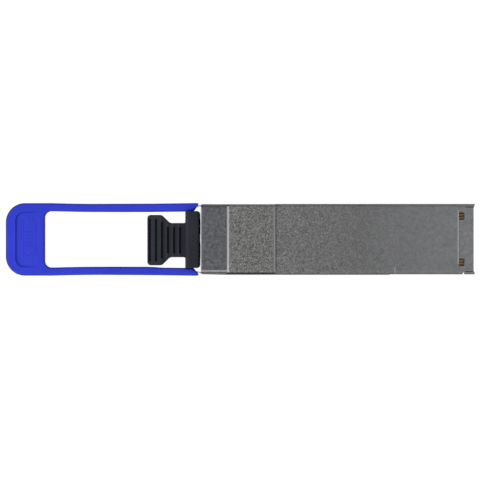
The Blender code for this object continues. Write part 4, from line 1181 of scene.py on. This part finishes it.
def make_plug():
    """The rubber plug: ribbed head and neck, a flange with notches for the tab, and two tongues."""
    outline = mirrored([
        (HEAD_X[0], HEAD_HALF - 0.8), (HEAD_X[0] + 0.22, HEAD_HALF - 0.22), (HEAD_X[0] + 0.8, HEAD_HALF),
        (HEAD_X[1] - 0.3, HEAD_HALF), (HEAD_X[1] + 0.2, HEAD_HALF - 0.22),
        (NECK_X[0] - 0.3, NECK_HALF + 0.22), (NECK_X[0] + 0.3, NECK_HALF),
        (NECK_X[1] - 0.4, NECK_HALF), (NECK_X[1], NECK_HALF + 0.25),
    ])
    plug = prism([(x, y + GRIP_SHIFT) for x, y in outline], "Z", GRIP_Z)
    soften(plug, 0.52, 4, angle=50)
    for x in GROOVE_X:
        half = HEAD_HALF - 1.0
        if x > HEAD_X[1] - 0.2:
            half = NECK_HALF - 0.95 if x > (HEAD_X[1] + NECK_X[0]) / 2 else NECK_HALF + 0.35
        combine(plug, [groove_cutter(x, half, GRIP_Z[1], 1.0), groove_cutter(x, half, GRIP_Z[0], -1.0)])
    flange = make_flange()
    combine(flange, [plug], "UNION")
    for sign in SIDES.values():
        y = PORT_Y * sign
        rings = [(x, rounded(about(y, half), about(PORT_Z, half), 0.35, 4)) for x, half in (
            (FLANGE_X[1] - 0.5, TONGUE_HALF), (TONGUE_TIP - 0.5, TONGUE_HALF),
            (TONGUE_TIP, TONGUE_HALF - 0.35),
        )]
        combine(flange, [stack(rings, "X")], "UNION")
        bore = [(0.0, BORE_END), (1.55, BORE_END), (1.7, BORE_END + 0.3), (1.7, TONGUE_TIP - 0.3),
                (1.85, TONGUE_TIP), (1.85, TONGUE_TIP + BEYOND), (0.0, TONGUE_TIP + BEYOND)]
        combine(flange, [turned(bore, "X", (0.0, y, PORT_Z), 28)])
    settle(flange, "rubber_plug", "rubber", ["dust_plug"], body="plug")


def groove_cutter(x, half, face, rise):
    """A groove with round ends and a round bottom."""
    width = GROOVE_WIDTH / 2
    rings = [(face + rise, rounded(about(x, width + 0.09), about(GRIP_SHIFT, half), width + 0.08, 4))]
    for depth, inset in ((0.0, 0.0), (-0.55, 0.03), (-0.85, 0.1), (-1.0, 0.2)):
        slim = width - inset
        rings.append((face + rise * depth * GROOVE_DEPTH,
                      rounded(about(x, slim), about(GRIP_SHIFT, half - inset), slim - 0.01, 4)))
    return stack(sorted(rings, key=lambda ring: ring[0]))


def make_flange():
    """The plug's flange, notched on both sides where the tab's arms pass, and rounded towards the ports."""
    notch, clear = 7.0, 0.3
    turn, top = 0.8, FLANGE_Z[1]
    span = about(FLANGE_SHIFT, FLANGE_HALF)
    corners = arc((FLANGE_X[1] - turn, span[1] - turn), turn, 90, 0, 6)
    corners += arc((FLANGE_X[1] - turn, span[0] + turn), turn, 0, -90, 6)
    plan = [(FLANGE_X[0], span[0])] + [(FLANGE_X[0], span[1])] + corners
    flange = prism(plan, "Z", FLANGE_Z)
    profile = arc((FLANGE_X[1] - turn, top - turn), turn, 90, 0, 6)
    profile = [(FLANGE_X[0] - BEYOND, top), *profile, (FLANGE_X[1], FLANGE_Z[0] - BEYOND),
               (FLANGE_X[0] - BEYOND, FLANGE_Z[0] - BEYOND)]
    combine(flange, [prism(profile, "Y", WIDE)], "INTERSECT")
    combine(flange, [slab(wider(FLANGE_X, BEYOND), both(notch, FLANGE_HALF + BEYOND, sign),
                          (TAB_LOW.z - clear, TAB_HIGH.z + clear)) for sign in SIDES.values()])
    return soften(flange, 0.2, 3, angle=40)


# ---------------------------------------------------------------- carried-over nodes

CARRIED = {
    "optics_clamp": "arm", "tosa_body": "gold", "rosa_body": "can", "tosa_nosepiece": "turned",
    "rosa_nosepiece": "turned", "tosa_sleeve": "ceramic", "rosa_sleeve": "ceramic",
    "tosa_flex": "film", "rosa_flex": "film",
}


def dress_carried_nodes():
    """CAD nodes whose shape is right keep it, and get a procedural material and soft edges."""
    for node, finish in CARRIED.items():
        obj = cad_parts[node]
        for index in range(len(obj.material_slots)):
            obj.material_slots[index].material = MATERIALS[finish]
        bevel = obj.modifiers.new("soft_edges", "BEVEL")
        bevel.width = 0.05 * MM
        bevel.segments = 2
        bevel.limit_method = "ANGLE"
        bevel.angle_limit = math.radians(50)


# ---------------------------------------------------------------- stage, light and camera

FRAME_WIDTH = 125.08         # millimetres across the picture, at the top face
LENS = 250.0
SENSOR = 36.0
AIM = (-9.11, -0.22)
STAGE_DROP = 0.02
FLOOR_REACH = 3.0            # metres
FLOOR_GLOW = (0.75, 0.975)   # for light that bounces, and for the camera
OVERHEAD = 0.50              # brightness of the studio overhead and at its horizon
DARK_HORIZON = 0.42
PALE_HORIZON = 1.5
HORIZON_HEIGHT = 0.62
PALE_SIDE = (-0.72, -0.69, 0.0)


def make_stage():
    """A wide pale floor that is see-through from below, so that the underside can be looked at."""
    bm = bmesh.new()
    corners = [(-FLOOR_REACH, -FLOOR_REACH), (FLOOR_REACH, -FLOOR_REACH), (FLOOR_REACH, FLOOR_REACH),
               (-FLOOR_REACH, FLOOR_REACH)]
    bm.faces.new([bm.verts.new((x, y, -STAGE_DROP * MM)) for x, y in corners])
    floor = add_object("studio_floor", new_mesh("studio_floor", bm))
    material = bpy.data.materials.new("pale_floor")
    material.use_nodes = True
    tree = material.node_tree
    shader = tree.nodes["Principled BSDF"]
    seen = add_node(tree, "ShaderNodeLightPath").outputs["Is Camera Ray"]
    glow = add_node(tree, "ShaderNodeMapRange",
                    {"Value": seen, "To Min": FLOOR_GLOW[0], "To Max": FLOOR_GLOW[1]})
    feed(tree, shader, {
        "Base Color": (0.07, 0.07, 0.07, 1.0), "Roughness": 0.9, "Specular IOR Level": 0.0,
        "Emission Color": (1.0, 1.0, 1.0, 1.0), "Emission Strength": glow.outputs["Result"],
    })
    below = add_node(tree, "ShaderNodeNewGeometry").outputs["Backfacing"]
    clear = add_node(tree, "ShaderNodeBsdfTransparent").outputs["BSDF"]
    split = add_node(tree, "ShaderNodeMixShader", {0: below, 1: shader.outputs["BSDF"], 2: clear})
    feed(tree, tree.nodes["Material Output"], {"Surface": split.outputs["Shader"]})
    floor.data.materials.append(material)


def make_light(name, direction, size, power, colour):
    """A square soft box a metre away that faces the middle of the object."""
    light = bpy.data.lights.new(name, "AREA")
    light.shape = "SQUARE"
    light.size = size
    light.energy = power
    light.color = colour
    obj = add_object(name, light)
    away = Vector(direction).normalized()
    obj.location = away + Vector((AIM[0] * MM, 0.0, 0.0))
    obj.rotation_mode = "QUATERNION"
    obj.rotation_quaternion = away.to_track_quat("Z", "Y")
    obj.visible_camera = False


def make_world():
    """A studio that is dim overhead and pale at the horizon, most of all on the side of the key."""
    world = bpy.data.worlds.new("studio")
    bpy.context.scene.world = world
    world.use_nodes = True
    tree = world.node_tree
    where = add_node(tree, "ShaderNodeTexCoord").outputs["Generated"]
    height = add_node(tree, "ShaderNodeSeparateXYZ", {0: where}).outputs["Z"]
    facing = add_node(tree, "ShaderNodeVectorMath", {0: where, 1: PALE_SIDE}, operation="DOT_PRODUCT")
    horizon = add_node(tree, "ShaderNodeMapRange", {
        "Value": facing.outputs["Value"], "From Min": -0.2, "From Max": 0.9,
        "To Min": DARK_HORIZON, "To Max": PALE_HORIZON,
    })
    climb = add_node(tree, "ShaderNodeMapRange", {"Value": height, "From Max": HORIZON_HEIGHT},
                     interpolation_type="SMOOTHSTEP")
    sky = add_node(tree, "ShaderNodeMix",
                   {0: climb.outputs["Result"], 2: horizon.outputs["Result"], 3: OVERHEAD})
    feed(tree, tree.nodes["Background"], {"Strength": sky.outputs[0], "Color": (0.99, 0.99, 1.0, 1.0)})


def make_camera():
    """A long lens straight above the heat-sink face."""
    data = bpy.data.cameras.new("camera")
    data.lens = LENS
    data.sensor_width = SENSOR
    data.clip_start = 0.05
    data.clip_end = 10.0
    camera = add_object("camera", data)
    camera.location = Vector((AIM[0], AIM[1], BODY_TOP + FRAME_WIDTH * LENS / SENSOR)) * MM
    bpy.context.scene.camera = camera


make_lid()
make_tray()
make_screws()
make_label()
make_ports()
make_small_parts()
make_card()
for side_name, side_sign in SIDES.items():
    make_arm(side_name, side_sign)
    make_spring(side_name, side_sign)
make_tab()
make_plug()
dress_carried_nodes()

make_stage()
make_world()
make_light("key_box", (-0.62, -0.52, 0.62), 1.1, 5.0, (1.0, 0.99, 0.97))
make_light("fill_box", (0.70, 0.45, 0.60), 1.0, 2.5, (0.96, 0.98, 1.0))
make_camera()
bpy.context.scene.view_settings.view_transform = "Standard"
bpy.context.scene.view_settings.look = "None"
